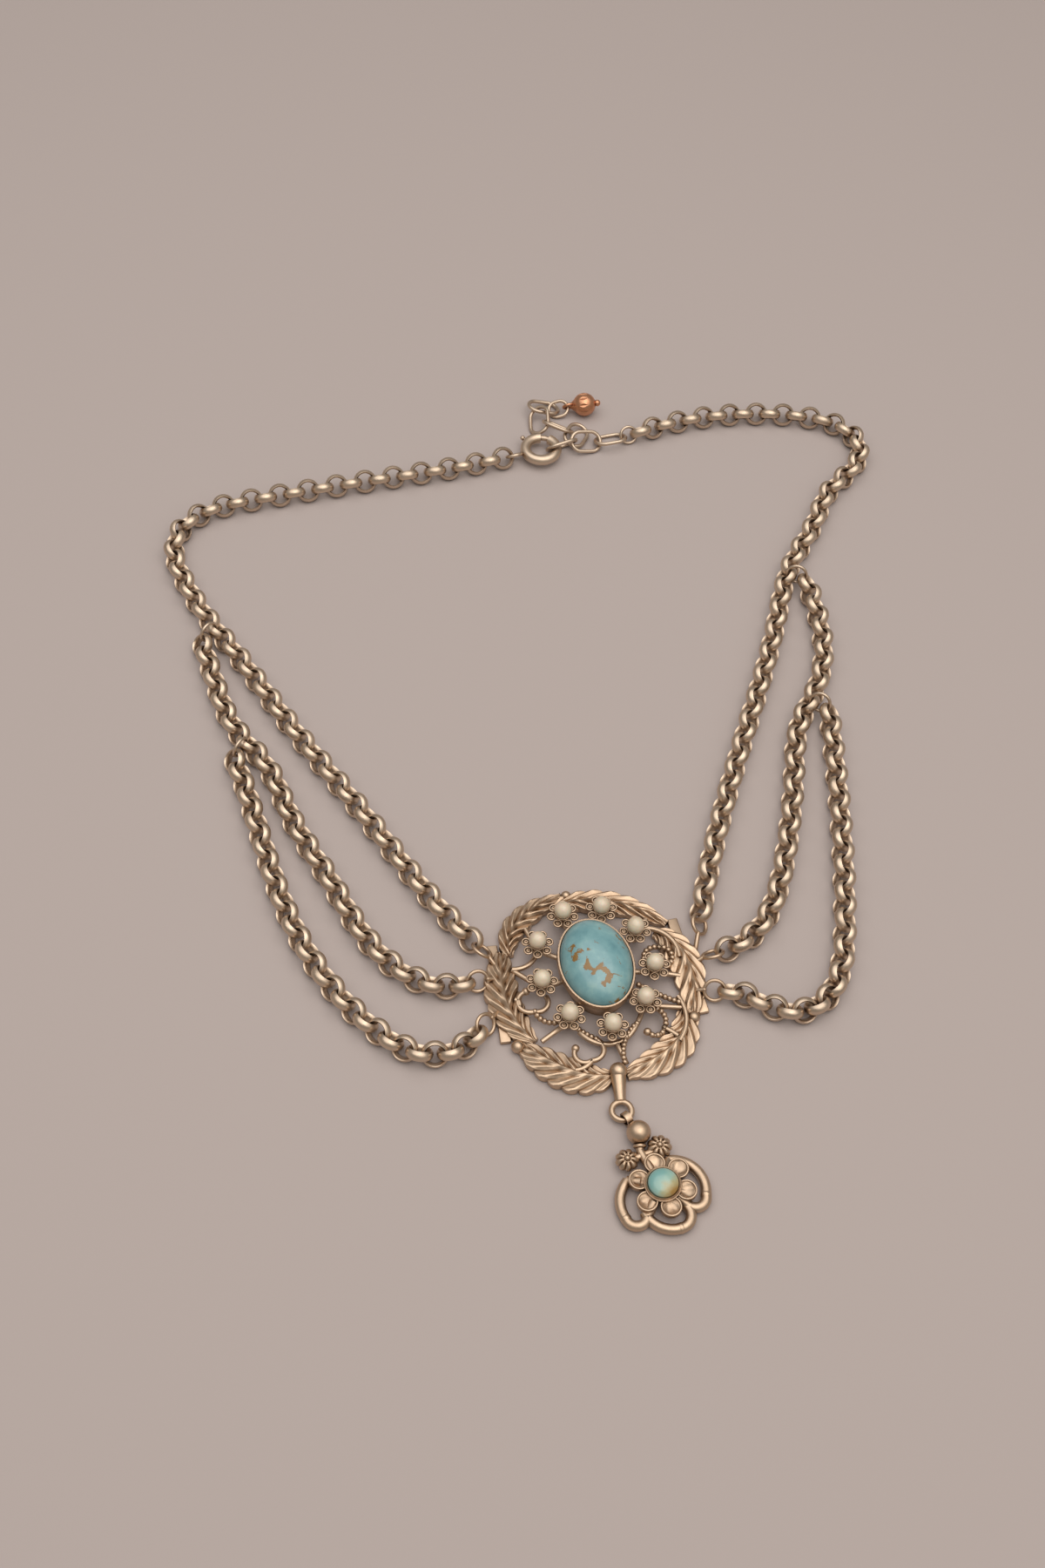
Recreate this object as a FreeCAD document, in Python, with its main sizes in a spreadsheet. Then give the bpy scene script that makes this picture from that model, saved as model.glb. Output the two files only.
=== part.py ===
import FreeCAD, Part
import math
import os
from FreeCAD import Matrix, Placement, Rotation, Vector

# A festoon necklace lying open on a table. Three tiers of rolo chain on each side
# carry an oval openwork brooch with a turquoise cabochon and nine pearls, and a small
# drop hangs from the brooch. A spring ring and an extension chain close the loop.
# X runs to the right of the lying necklace, Y from the drop to the clasp, Z up.
# Lengths are millimetres. Layout places count from the middle of the brooch.

doc = FreeCAD.newDocument("festoon_necklace")
sheet = doc.addObject("Spreadsheet::Sheet", "sizes")

DRIVING_SIZES = (
    # alias, value, meaning
    ("layout_east", 16.89, "brooch centre from the middle of the whole, X"),
    ("layout_north", -50.21, "brooch centre from the middle of the whole, Y"),
    ("link_hole_radius", 1.8, "rolo link, flat inside"),
    ("link_rim_radius", 2.56, "rolo link, crown of the domed outside"),
    ("link_width", 1.9, "rolo link, across the band"),
    ("link_chamfer", 0.25, "rolo link, eased inner edge"),
    ("link_height", 2.15, "middle of a lying link above the table"),
    ("link_bend_slack", 3.2, "how much links close up in a bend, mm of pitch per 1/mm"),
    ("jump_ring_radius", 2.0, "jump ring, middle of its wire"),
    ("jump_wire_radius", 0.33, "jump ring wire"),
    ("eye_radius", 1.9, "end eye of the brooch, middle of its wire"),
    ("eye_wire_radius", 0.35, "end eye wire"),
    ("brooch_turn", 15.7, "brooch turned on the table, degrees"),
    ("cabochon_half_width", 6.5, "turquoise, 13 x 18 mm calibrated"),
    ("cabochon_half_length", 9.0, "turquoise"),
    ("cabochon_girdle", 4.5, "height of the widest line of the turquoise"),
    ("cabochon_base", 3.95, "height of its flat underside"),
    ("cabochon_dome", 4.5, "dome above the girdle"),
    ("cabochon_east", 0.25, "turquoise from the brooch centre"),
    ("stone_gap", 0.08, "clearance round a set stone"),
    ("bezel_wall", 0.4, "bezel wall thickness"),
    ("bezel_top", 5.0, "height of the bezel's rim"),
    ("gallery_half_width", 5.9, "wall that carries the bezel"),
    ("gallery_half_length", 8.4, "wall that carries the bezel"),
    ("pearl_radius", 1.65, "pearl"),
    ("pearl_height", 5.7, "pearl centre above the table"),
    ("flower_base", 3.6, "underside of a pearl's flower"),
    ("flower_top", 4.3, "top of its petals"),
    ("leaf_edge", 1.0, "leaf thickness at its edge"),
    ("leaf_crest", 1.3, "relief of a leaf above its edge"),
    ("scroll_radius", 0.5, "cast scroll wire"),
    ("scroll_height", 1.8, "middle of a scroll above the table"),
    ("bar_width", 3.0, "side bar that carries the chain eyes"),
    ("bar_thickness", 1.0, "side bar"),
    ("drop_stone_radius", 2.65, "round turquoise of the drop"),
    ("drop_stone_girdle", 3.4, "its widest line above the table"),
    ("drop_ball_radius", 2.15, "polished ball above the drop"),
    ("clasp_east", -14.1, "spring ring centre"),
    ("clasp_north", 133.2, "spring ring centre"),
    ("clasp_height", 2.15, "spring ring centre above the table, resting on a link"),
    ("clasp_radius", 3.5, "spring ring, middle of its tube"),
    ("clasp_tube_radius", 1.15, "spring ring tube, outside"),
    ("clasp_bore_radius", 0.8, "spring ring tube, inside"),
    ("bolt_radius", 0.6, "sliding bolt"),
    ("gap_start", 60.0, "mouth of the spring ring, degrees"),
    ("gap_sweep", 34.0, "mouth of the spring ring, degrees"),
    ("trigger_angle", 143.0, "thumb knob at rest, degrees"),
    ("bolt_travel", 39.0, "bolt's turn when open, degrees"),
    ("bead_radius", 2.6, "fluted end bead"),
)
for row, (alias, value, meaning) in enumerate(DRIVING_SIZES, start=1):
    sheet.set(f"A{row}", alias)
    sheet.set(f"B{row}", str(value))
    sheet.set(f"C{row}", meaning)
    sheet.setAlias(f"B{row}", alias)
doc.recompute()

UP = Vector(0, 0, 1)
parts = []


def size(alias):
    return float(sheet.get(alias))


def bind(obj, prop, expression):
    obj.setExpression(prop, expression)


def finish_part(obj, label, east="0", north="0", height="0", turn=None):
    """Names a sub-part and binds its place on the table to the sheet."""
    obj.Label = label
    bind(obj, "Placement.Base.x", f"sizes.layout_east + {east}")
    bind(obj, "Placement.Base.y", f"sizes.layout_north + {north}")
    bind(obj, "Placement.Base.z", height)
    if turn:
        obj.Placement = Placement(Vector(), Rotation(UP, 1))
        bind(obj, "Placement.Rotation.Angle", turn)
    parts.append(obj)
    return obj


def shape_part(label, shape, **place):
    """A sub-part whose shape is worked out below from the sheet's sizes."""
    obj = doc.addObject("Part::Feature", label)
    obj.Shape = Part.makeCompound([shape])
    return finish_part(obj, label, **place)


def moved(shape, placement):
    copy = shape.copy()
    copy.Placement = placement.multiply(copy.Placement)
    return copy


def flat_turn(x, y, degrees):
    return Placement(Vector(x, y, 0), Rotation(UP, degrees))


# Rolo chain

def link_section():
    """Half-round band with eased inner edges, radius along X and width along Z."""
    hole, rim = size("link_hole_radius"), size("link_rim_radius")
    half, chamfer = size("link_width") / 2, size("link_chamfer")
    low_flat = Vector(hole, 0, chamfer - half)
    high_flat = Vector(hole, 0, half - chamfer)
    high_edge = Vector(hole + chamfer, 0, half)
    low_edge = Vector(hole + chamfer, 0, -half)
    dome = Part.Arc(high_edge, Vector(rim, 0, 0), low_edge)
    edges = [
        Part.LineSegment(low_flat, high_flat),
        Part.LineSegment(high_flat, high_edge),
        dome,
        Part.LineSegment(low_edge, low_flat),
    ]
    return Part.Face(Part.Wire([edge.toShape() for edge in edges]))


ROLO_LINK = link_section().revolve(Vector(), UP, 360)


def chord_walk(route, pitch):
    """Points a chord apart along a smooth route, nearer together where it bends."""
    curve = Part.BSplineCurve()
    curve.interpolate([Vector(x, y, 0) for x, y in route])
    first, last = curve.FirstParameter, curve.LastParameter
    steps = 4000
    step = (last - first) / steps
    here = curve.value(first)
    found = [(here, curve.tangent(first)[0])]
    for number in range(1, steps + 1):
        where = first + number * step
        point = curve.value(where)
        chord = pitch - size("link_bend_slack") * curve.curvature(where)
        if point.distanceToPoint(here) >= chord:
            here = point
            found.append((point, curve.tangent(where)[0]))
    return found


def strand(route, links, first_roll):
    """Placements of a given number of links from the first route point to the last.
    Each link leans 45 degrees to the table, the next one leans the other way."""
    shortest, longest = 1.0, 6.0
    for _ in range(40):
        pitch = (shortest + longest) / 2
        if len(chord_walk(route, pitch)) >= links:
            shortest = pitch
        else:
            longest = pitch
    places = []
    for number, (point, ahead) in enumerate(chord_walk(route, shortest)[:links]):
        lean = math.radians(first_roll if number % 2 == 0 else -first_roll)
        aside = Vector(ahead.y, -ahead.x, 0)
        normal = UP * math.cos(lean) + aside * math.sin(lean)
        middle = Vector(point.x, point.y, size("link_height"))
        places.append(Placement(middle, Rotation(ahead, Vector(), normal, "XZY")))
    print(f"  {links} links, pitch {shortest:.3f} mm")
    return places


def chain_part(label, places):
    links = [moved(ROLO_LINK, place) for place in places]
    return shape_part(label, Part.makeCompound(links))


# Cast relief

def polygon_face(points):
    return Part.Face(Part.makePolygon(points + [points[0]]))


def closed_solid(faces):
    """Solid bounded by faces that share their edges, turned right side out."""
    shell = Part.makeShell(faces)
    shell.sewShape()
    solid = Part.makeSolid(shell)
    if solid.Volume < 0:
        solid.reverse()
    return solid


def bezier(points, t):
    """Place on a cubic curve through four control points, and its left-hand normal."""
    a, b, c, d = points
    s = 1 - t
    place = a * s**3 + b * (3 * s * s * t) + c * (3 * s * t * t) + d * t**3
    ahead = (b - a) * (3 * s * s) + (c - b) * (6 * s * t) + (d - c) * (3 * t * t)
    ahead.normalize()
    return place, Vector(-ahead.y, ahead.x, 0)


def feather_leaf(spine, left_width, right_width, barbs, crest, base=0.0):
    """Acanthus leaf with a raised midrib and a ridge for each barb on both sides.
    Every second station across the leaf is a ridge and reaches further out."""
    edge = size("leaf_edge")
    control = [Vector(x, y, 0) for x, y in spine]
    across = (-1.0, -0.55, 0.0, 0.55, 1.0)
    stations = 2 * barbs
    top = []
    for number in range(stations + 1):
        ridge = number % 2 == 1
        row = []
        for reach in across:
            sweep = 0.10 * abs(reach)
            along = min(number / stations * (1 - sweep) + sweep, 1.0)
            place, left = bezier(control, along)
            plump = math.sin(math.pi * min(max(along, 0.04), 0.96)) ** 0.6
            width = left_width if reach > 0 else right_width
            width *= plump * (1.0 if ridge or abs(reach) < 1 else 0.8)
            relief = crest * (1 - 0.75 * abs(reach)) * plump
            if reach and not ridge:
                relief *= 0.45
            point = place + left * (reach * width)
            row.append(Vector(point.x, point.y, base + edge + relief))
        top.append(row)
    faces = []
    for row, following in zip(top, top[1:]):
        for column in range(len(across) - 1):
            a, b = row[column], row[column + 1]
            c, d = following[column + 1], following[column]
            faces.append(polygon_face([a, c, b]))
            faces.append(polygon_face([a, d, c]))
    outline = [row[0] for row in top] + top[-1][1:-1]
    outline += [row[-1] for row in reversed(top)] + list(reversed(top[0][1:-1]))
    foot = [Vector(point.x, point.y, base) for point in outline]
    for number in range(len(outline)):
        following = (number + 1) % len(outline)
        faces.append(polygon_face([outline[number], outline[following], foot[following], foot[number]]))
    faces.append(polygon_face(foot))
    return closed_solid(faces)


def arc_tube(start, middle, end, radius):
    """Round wire bent along an arc through three points."""
    start, middle, end = Vector(*start), Vector(*middle), Vector(*end)
    circle = Part.Circle(start, middle, end)
    sweep = math.degrees(Part.Arc(start, middle, end).length() / circle.Radius)
    outward = start - circle.Center
    ahead = circle.Axis.cross(outward)
    section = Part.Face(Part.Wire(Part.Circle(start, ahead, radius).toShape()))
    return section.revolve(circle.Center, circle.Axis, sweep)


def straight_wire(start, end, radius):
    start, end = Vector(*start), Vector(*end)
    return Part.makeCylinder(radius, start.distanceToPoint(end), start, end - start)


def oval_face(half_width, half_length, height):
    long_axis = Part.Ellipse(Vector(0, 0, 0), half_length, half_width)
    face = Part.Face(Part.Wire(long_axis.toShape()))
    return moved(face, Placement(Vector(0, 0, height), Rotation(UP, 90)))


def oval_block(half_width, half_length, low, high):
    return oval_face(half_width, half_length, low).extrude(Vector(0, 0, high - low))


def scalloped_block(lobes, valley, reach, low, high, first_angle=0.0):
    """Flat flower: arcs bulge out to the reach between valleys set round a circle."""
    def at(radius, step):
        angle = math.radians(first_angle + 360.0 * step / lobes)
        return Vector(radius * math.cos(angle), radius * math.sin(angle), low)

    edges = [
        Part.Arc(at(valley, k - 0.5), at(reach, k), at(valley, k + 0.5)).toShape()
        for k in range(lobes)
    ]
    return Part.Face(Part.Wire(edges)).extrude(Vector(0, 0, high - low))


def fused(solids):
    return solids[0].multiFuse(solids[1:])


# Brooch, in its own frame: X across, Y towards its top, Z up from its back

EYE_REACH = 1.05
DROP_EYE = (-2.3, -27.9)

LEAVES = (
    # four control points of the midrib from stem to tip, left width, right width, barbs
    (((-14.3, 6.8), (-14.6, 12.0), (-9.5, 15.6), (-1.8, 17.3)), 2.2, 2.0, 8),
    (((-4.0, 15.4), (2.0, 16.2), (9.5, 14.0), (15.9, 7.2)), 2.3, 1.9, 9),
    (((13.3, 6.2), (18.0, 3.0), (19.0, -5.0), (15.0, -12.6)), 2.5, 3.3, 8),
    (((14.2, -10.0), (13.6, -17.5), (8.0, -19.8), (0.4, -21.0)), 3.3, 2.5, 9),
    (((-1.6, -20.8), (-8.0, -21.5), (-12.0, -16.5), (-16.6, -11.6)), 3.4, 2.6, 9),
    (((-14.0, -11.4), (-18.6, -5.0), (-17.6, 2.0), (-15.4, 7.8)), 3.2, 2.8, 9),
)
LEAF_BUDS = (
    # x, y, radius of the ball that ends a curled leaf
    (-0.9, 17.4, 0.95),
    (15.4, -12.9, 1.15),
    (-17.2, -11.7, 1.2),
)
FLOWERS = (
    # x, y of a pearl's flower, then x, y where its stem meets the wreath
    (-9.2, 6.5, -10.2, 11.6),
    (-3.1, 11.7, -4.2, 15.4),
    (4.2, 11.2, 5.0, 14.6),
    (9.2, 5.6, 12.4, 8.8),
    (10.6, -2.6, 15.2, -4.2),
    (7.1, -9.0, 13.6, -10.6),
    (-0.1, -12.9, 0.9, -19.4),
    (-7.1, -9.2, -12.8, -11.8),
    (-10.3, -1.4, -14.6, 3.6),
)
SCROLLS = (
    # start, middle and end of an arc, x and y
    ((-13.2, -1.4), (-15.3, -3.8), (-12.6, -5.8)),
    ((-12.6, -5.8), (-11.0, -5.9), (-9.9, -3.2)),
    ((-15.6, -2.6), (-14.9, -3.4), (-15.2, -4.2)),
    ((-12.6, -5.8), (-11.6, -7.9), (-8.8, -8.8)),
    ((-7.3, -14.6), (-7.6, -16.8), (-5.0, -17.6)),
    ((-5.0, -17.6), (-2.4, -16.2), (-3.2, -13.6)),
    ((-3.2, -13.6), (-4.8, -12.2), (-6.8, -9.6)),
    ((-8.4, -18.8), (-6.6, -18.6), (-5.0, -17.6)),
    ((6.2, -14.2), (7.6, -15.3), (9.4, -14.1)),
    ((9.4, -14.1), (10.1, -12.0), (7.6, -9.4)),
    ((9.4, -14.1), (10.4, -15.0), (11.4, -16.2)),
    ((-5.8, -11.6), (-0.8, -15.2), (4.8, -12.2)),
    ((4.8, -12.2), (1.8, -15.0), (0.6, -19.2)),
    ((4.8, -12.2), (5.6, -11.2), (6.4, -9.8)),
    ((10.6, -1.8), (10.8, 2.2), (13.0, 2.2)),
    ((13.0, 2.2), (14.9, 0.4), (13.4, -1.9)),
    ((7.2, -4.6), (9.6, -6.8), (13.4, -9.6)),
    ((10.2, 7.0), (14.9, 4.9), (16.2, -0.6)),
    ((13.6, -8.4), (14.0, -12.6), (11.4, -17.2)),
    ((-9.2, 6.5), (-11.6, 3.8), (-14.6, 3.6)),
)
SCROLL_BUDS = ((-13.2, -1.4), (-7.3, -14.6), (6.2, -14.2), (13.4, -1.9))
SIDE_BARS = (
    # upper end and lower end of the flat bar behind each side
    ((-17.0, 9.9), (-19.0, -10.2)),
    ((17.3, 8.2), (17.6, -12.2)),
)


def pearl_flower():
    """Seven-petal cup: a scalloped plate with a ringed pocket in every petal."""
    low, high = size("flower_base"), size("flower_top")
    petals, petal_distance, pocket, dot = 7, 2.1, 0.5, 0.2
    plate = scalloped_block(petals, 1.9, 2.95, low, high)
    cup_radius, cup_top = 1.25, high + 0.45
    plate = plate.fuse(Part.makeCylinder(cup_radius, cup_top - low, Vector(0, 0, low)))
    for k in range(petals):
        angle = math.radians(360.0 * k / petals)
        centre = Vector(petal_distance * math.cos(angle), petal_distance * math.sin(angle), high - 0.35)
        ring = Part.makeCylinder(pocket, 1.0, centre).cut(Part.makeCylinder(dot, 1.0, centre))
        plate = plate.cut(ring)
    seat = size("pearl_radius") + size("stone_gap")
    return plate.cut(Part.makeSphere(seat, Vector(0, 0, size("pearl_height"))))


def bezel():
    """Oval cup for the turquoise on a gallery wall that stands on the table."""
    width, length = size("cabochon_half_width"), size("cabochon_half_length")
    gap, wall = size("stone_gap"), size("bezel_wall")
    floor_top = size("cabochon_base") - gap
    floor_low = floor_top - 0.7
    cup = oval_block(width + gap + wall, length + gap + wall, floor_low, size("bezel_top"))
    cup = cup.cut(oval_block(width + gap, length + gap, floor_top, size("bezel_top") + 1))
    gallery_width, gallery_length = size("gallery_half_width"), size("gallery_half_length")
    gallery = oval_block(gallery_width, gallery_length, 0, floor_low + 0.2)
    gallery = gallery.cut(oval_block(gallery_width - 0.8, gallery_length - 0.8, -1, floor_low))
    return moved(cup.fuse(gallery), Placement(Vector(size("cabochon_east"), 0, 0), Rotation()))


def side_bar(upper, lower):
    upper, lower = Vector(*upper, 0), Vector(*lower, 0)
    width, length = size("bar_width"), upper.distanceToPoint(lower)
    bar = Part.makeBox(length, width, size("bar_thickness"), Vector(0, -width / 2, 0))
    run = lower - upper
    return moved(bar, flat_turn(upper.x, upper.y, math.degrees(math.atan2(run.y, run.x))))


def end_eye(place, away, radius, wire):
    """Wire eye square to an end link of a strand, and the point of it furthest away."""
    ahead = place.Rotation.multVec(Vector(1, 0, 0)) * away
    normal = place.Rotation.multVec(Vector(0, 1, 0))
    centre = place.Base + ahead * (EYE_REACH + radius)
    return Part.makeTorus(radius, wire, centre, normal), centre + ahead * radius, ahead


def brooch_eye(place):
    """End eye with a stem that comes down to the side bar."""
    wire = size("eye_wire_radius")
    ring, near, ahead = end_eye(place, 1, size("eye_radius"), wire)
    far = near + ahead * 3.2
    far.z = size("bar_thickness") / 2
    stem = straight_wire(near, far, wire + 0.1)
    return ring.fuse([stem, Part.makeSphere(wire + 0.1, near)])


def brooch_frame(strand_ends):
    level, radius = size("scroll_height"), size("scroll_radius")
    crest = size("leaf_crest")
    solids = [bezel()]
    solids += [feather_leaf(spine, left, right, barbs, crest) for spine, left, right, barbs in LEAVES]
    solids += [Part.makeSphere(ball, Vector(x, y, ball)) for x, y, ball in LEAF_BUDS]
    solids += [side_bar(upper, lower) for upper, lower in SIDE_BARS]
    for start, middle, end in SCROLLS:
        solids.append(arc_tube((*start, level), (*middle, level), (*end, level), radius))
    joints = {point for start, middle, end in SCROLLS for point in (start, end)}
    for point in sorted(joints):
        bulge, half = (1.5, 1.3 * radius) if point in SCROLL_BUDS else (1.14, 1.16 * radius)
        solids.append(Part.makeCylinder(radius * bulge, 2 * half, Vector(*point, level - half)))
    flower = pearl_flower()
    inner = size("gallery_half_width") / size("gallery_half_length")
    for number, (x, y, stem_x, stem_y) in enumerate(FLOWERS):
        solids.append(moved(flower, flat_turn(x, y, 25.0 * number)))
        post_foot = level - 0.9
        solids.append(Part.makeCylinder(0.9, size("flower_base") + 0.2 - post_foot, Vector(x, y, post_foot)))
        solids.append(straight_wire((x, y, level), (stem_x, stem_y, level - 0.3), radius))
        wall = (size("gallery_half_width") - 0.4) / math.hypot(x, y * inner)
        solids.append(straight_wire((x, y, level), (x * wall, y * wall, level), radius))
    solids.append(Part.makeCone(1.3, 0.8, 5.8, Vector(-1.0, -20.4, 1.6), Vector(-0.9, -5.0, -0.4)))
    solids.append(Part.makeCylinder(1.5, 3.1, Vector(-1.0, -20.6, 0.25)))
    solids.append(Part.makeTorus(1.75, 0.55, Vector(*DROP_EYE, 1.2), UP))
    to_brooch = flat_turn(0, 0, -size("brooch_turn"))
    solids += [moved(brooch_eye(place), to_brooch) for place in strand_ends]
    return fused(solids)


def domed_oval():
    """Turquoise cut: half an ellipsoid over a short taper down to a flat underside."""
    width, length = size("cabochon_half_width"), size("cabochon_half_length")
    girdle, base = size("cabochon_girdle"), size("cabochon_base")
    height = size("cabochon_dome")
    dome = Part.makeSphere(1.0, Vector(), UP, 0, 90, 360)
    stretch = Matrix(width, 0, 0, 0, 0, length, 0, 0, 0, 0, height, girdle, 0, 0, 0, 1)
    dome = dome.transformGeometry(stretch)
    inset = 1 - 0.35 / width
    foot = oval_face(width * inset, length * inset, base).Wires[0]
    taper = Part.makeLoft([foot, oval_face(width, length, girdle).Wires[0]], True)
    return dome.fuse(taper)


# Drop, in layout places: it hangs below the brooch and lies face up

DROP_FLOWER = (12.4, -41.6)
DROP_BALL = (8.25, -31.9)
DROP_SCROLLS = (
    # start, middle and end of an arc, x and y
    ((6.4, -40.6), (5.2, -44.4), (6.2, -47.4)),
    ((6.2, -47.4), (8.4, -48.6), (9.9, -46.6)),
    ((13.4, -36.4), (18.6, -38.2), (19.9, -42.4)),
    ((19.9, -42.4), (19.2, -44.4), (17.0, -44.6)),
    ((9.4, -46.2), (12.4, -48.7), (15.6, -48.6)),
    ((15.6, -48.6), (17.3, -46.8), (16.0, -44.2)),
)
DROP_ROSETTES = (
    # x, y, outer radius
    (11.9, -34.2, 2.2),
    (6.3, -37.0, 2.1),
)


def rosette(reach):
    """Nine-lobed domed disc with a button in the middle."""
    low, high = 1.0, 2.4
    disc = scalloped_block(9, reach * 0.84, reach, low, high)
    ball = 3.4
    disc = disc.common(Part.makeSphere(ball, Vector(0, 0, high + 0.5 - ball)))
    ring = Part.makeTorus(reach * 0.5, 0.18, Vector(0, 0, high + 0.25), UP)
    return disc.cut(ring).fuse(Part.makeSphere(0.55, Vector(0, 0, high + 0.35)))


def drop_flower():
    """Six spoon-shaped petals with radial ribs round a cup for the stone."""
    petals, distance, petal_radius = 6, 4.1, 1.72
    low, rim = 1.4, 3.0
    flower = Part.makeCylinder(3.1, 1.1, Vector(0, 0, low))
    for k in range(petals):
        turn = Rotation(UP, 50 + 360 * k / petals)
        middle = turn.multVec(Vector(distance, 0, 0))
        petal = Part.makeCylinder(petal_radius, rim - low, middle + UP * low)
        spoon = 1.9
        petal = petal.cut(Part.makeSphere(spoon, middle + UP * (rim + 0.85)))
        for side in (-24, 0, 24):
            rib_turn = turn.multiply(Rotation(UP, side * 0.75))
            start = turn.multVec(Vector(distance - 1.6, 0, 0)) + UP * 2.05
            end = start + rib_turn.multVec(Vector(2.5, 0, 0)) + UP * 0.2
            petal = petal.fuse(straight_wire(start, end, 0.16))
        flower = flower.fuse(petal)
    stone, girdle = size("drop_stone_radius"), size("drop_stone_girdle")
    gap, wall = size("stone_gap"), 0.35
    flower = flower.fuse(Part.makeCylinder(stone + gap + wall, girdle - low, Vector(0, 0, low)))
    seat_floor = girdle - 0.6
    return flower.cut(Part.makeCylinder(stone + gap, 4.0, Vector(0, 0, seat_floor)))


def drop_frame():
    level, radius = 1.05, 0.85
    ball = Vector(*DROP_BALL, size("drop_ball_radius") + 0.03)
    solids = [moved(drop_flower(), flat_turn(*DROP_FLOWER, 0))]
    solids.append(Part.makeSphere(size("drop_ball_radius"), ball))
    solids.append(Part.makeCylinder(0.75, 3.6, ball, Vector(0.1, -1.0, -0.25)))
    solids.append(Part.makeTorus(0.85, 0.35, ball + Vector(0.2, -2.35, -0.5), Vector(0.1, -1, -0.25)))
    for x, y, reach in DROP_ROSETTES:
        solids.append(moved(rosette(reach), flat_turn(x, y, 12)))
    solids.append(straight_wire((6.6, -37.0, 1.5), (11.9, -34.6, 1.5), 0.7))
    solids.append(straight_wire((8.6, -35.2, 1.5), (11.0, -39.6, 1.8), 0.8))
    for start, middle, end in DROP_SCROLLS:
        solids.append(arc_tube((*start, level), (*middle, level), (*end, level), radius))
    for x, y in ((9.9, -46.6), (17.0, -44.6), (6.2, -47.4), (19.9, -42.4), (15.6, -48.6)):
        solids.append(Part.makeCylinder(radius * 1.22, 2.02, Vector(x, y, level - 1.01)))
    for x, y in ((6.4, -40.6), (13.4, -36.4), (17.0, -44.6), (9.9, -46.6)):
        toward = Vector(*DROP_FLOWER, 0) - Vector(x, y, 0)
        toward.normalize()
        start = Vector(x, y, level)
        solids.append(straight_wire(start, start + toward * 2.4 + UP * 0.8, radius))
    bail_middle = Vector(6.26, -29.1, 1.42)
    along = Vector(*DROP_BALL, 0) - Vector(bail_middle.x, bail_middle.y, 0)
    along.normalize()
    across = along.cross(UP)
    band = Part.makeCylinder(1.35, 1.1, bail_middle - across * 0.55, across)
    band = band.cut(Part.makeCylinder(1.0, 3.0, bail_middle - across * 1.5, across))
    solids.append(band)
    solids.append(straight_wire(bail_middle + along * 1.15, ball, 0.5))
    return fused(solids)


def drop_stone():
    """Low round cabochon that stops short of the floor of its cup."""
    radius, girdle = size("drop_stone_radius"), size("drop_stone_girdle")
    height, foot = 1.4, 0.5
    ball = (radius * radius + height * height) / (2 * height)
    dome = Part.makeSphere(ball, Vector(0, 0, height - ball))
    above = Part.makeCylinder(radius, height, Vector())
    return dome.common(above).fuse(Part.makeCylinder(radius, foot, Vector(0, 0, -foot)))


# Spring ring, in its own frame: it lies flat and its bolt turns about Z

def ring_section(radial, angle, radius):
    turn = Rotation(UP, angle)
    circle = Part.Circle(turn.multVec(Vector(radial, 0, 0)), turn.multVec(Vector(0, 1, 0)), radius)
    return Part.Face(Part.Wire(circle.toShape()))


def spring_ring_case(first_link):
    """Hollow ring with a mouth, a socket for the bolt's tip, a slot for its knob, an eye."""
    ring, tube, bore = size("clasp_radius"), size("clasp_tube_radius"), size("clasp_bore_radius")
    mouth, sweep = size("gap_start"), size("gap_sweep")
    socket, travel = 7.0, size("bolt_travel")
    case = ring_section(ring, mouth + sweep, tube).revolve(Vector(), UP, 360 - sweep)
    tunnel = ring_section(ring, mouth - socket, bore).revolve(Vector(), UP, 147)
    case = case.cut(tunnel)
    margin, half_slot = 5.0, 0.4
    slot_start = size("trigger_angle") - margin
    corners = [Vector(ring + reach, 0, height) for reach, height in
               ((0.3, -half_slot), (1.9, -half_slot), (1.9, half_slot), (0.3, half_slot), (0.3, -half_slot))]
    slot = Part.Face(Part.makePolygon(corners))
    slot = moved(slot, Placement(Vector(), Rotation(UP, slot_start)))
    case = case.cut(slot.revolve(Vector(), UP, travel + 2 * margin))
    to_clasp = Placement(-clasp_place(), Rotation())
    eye = end_eye(first_link, -1, 1.65, 0.38)[0]
    return case.fuse(moved(eye, to_clasp)).cut(tunnel)


def spring_ring_bolt():
    ring, radius = size("clasp_radius"), size("bolt_radius")
    tip, length = size("gap_start") - 5, 98
    bolt = ring_section(ring, tip, radius).revolve(Vector(), UP, length)
    outward = Rotation(UP, size("trigger_angle")).multVec(Vector(1, 0, 0))
    knob_end = size("clasp_tube_radius") + 0.65
    stem = Part.makeCylinder(0.28, knob_end, outward * ring, outward)
    return bolt.fuse([stem, Part.makeSphere(0.55, outward * (ring + knob_end))])


def clasp_place():
    return Vector(size("clasp_east"), size("clasp_north"), size("clasp_height"))


# Extension

def oval_link(end_radius, wire, straight):
    """Round wire bent to a long ring, lengthwise along X."""
    half = straight / 2
    section = Part.Face(Part.Wire(Part.Circle(Vector(half, end_radius, 0), Vector(1, 0, 0), wire).toShape()))
    bend = section.revolve(Vector(half, 0, 0), UP, -180)
    side = section.extrude(Vector(-straight, 0, 0))
    half_link = bend.fuse(side)
    other = moved(half_link, Placement(Vector(), Rotation(UP, 180)))
    return half_link.fuse(other).removeSplitter()


# Strands, in layout places from the middle of each strand's first link to its last

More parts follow.
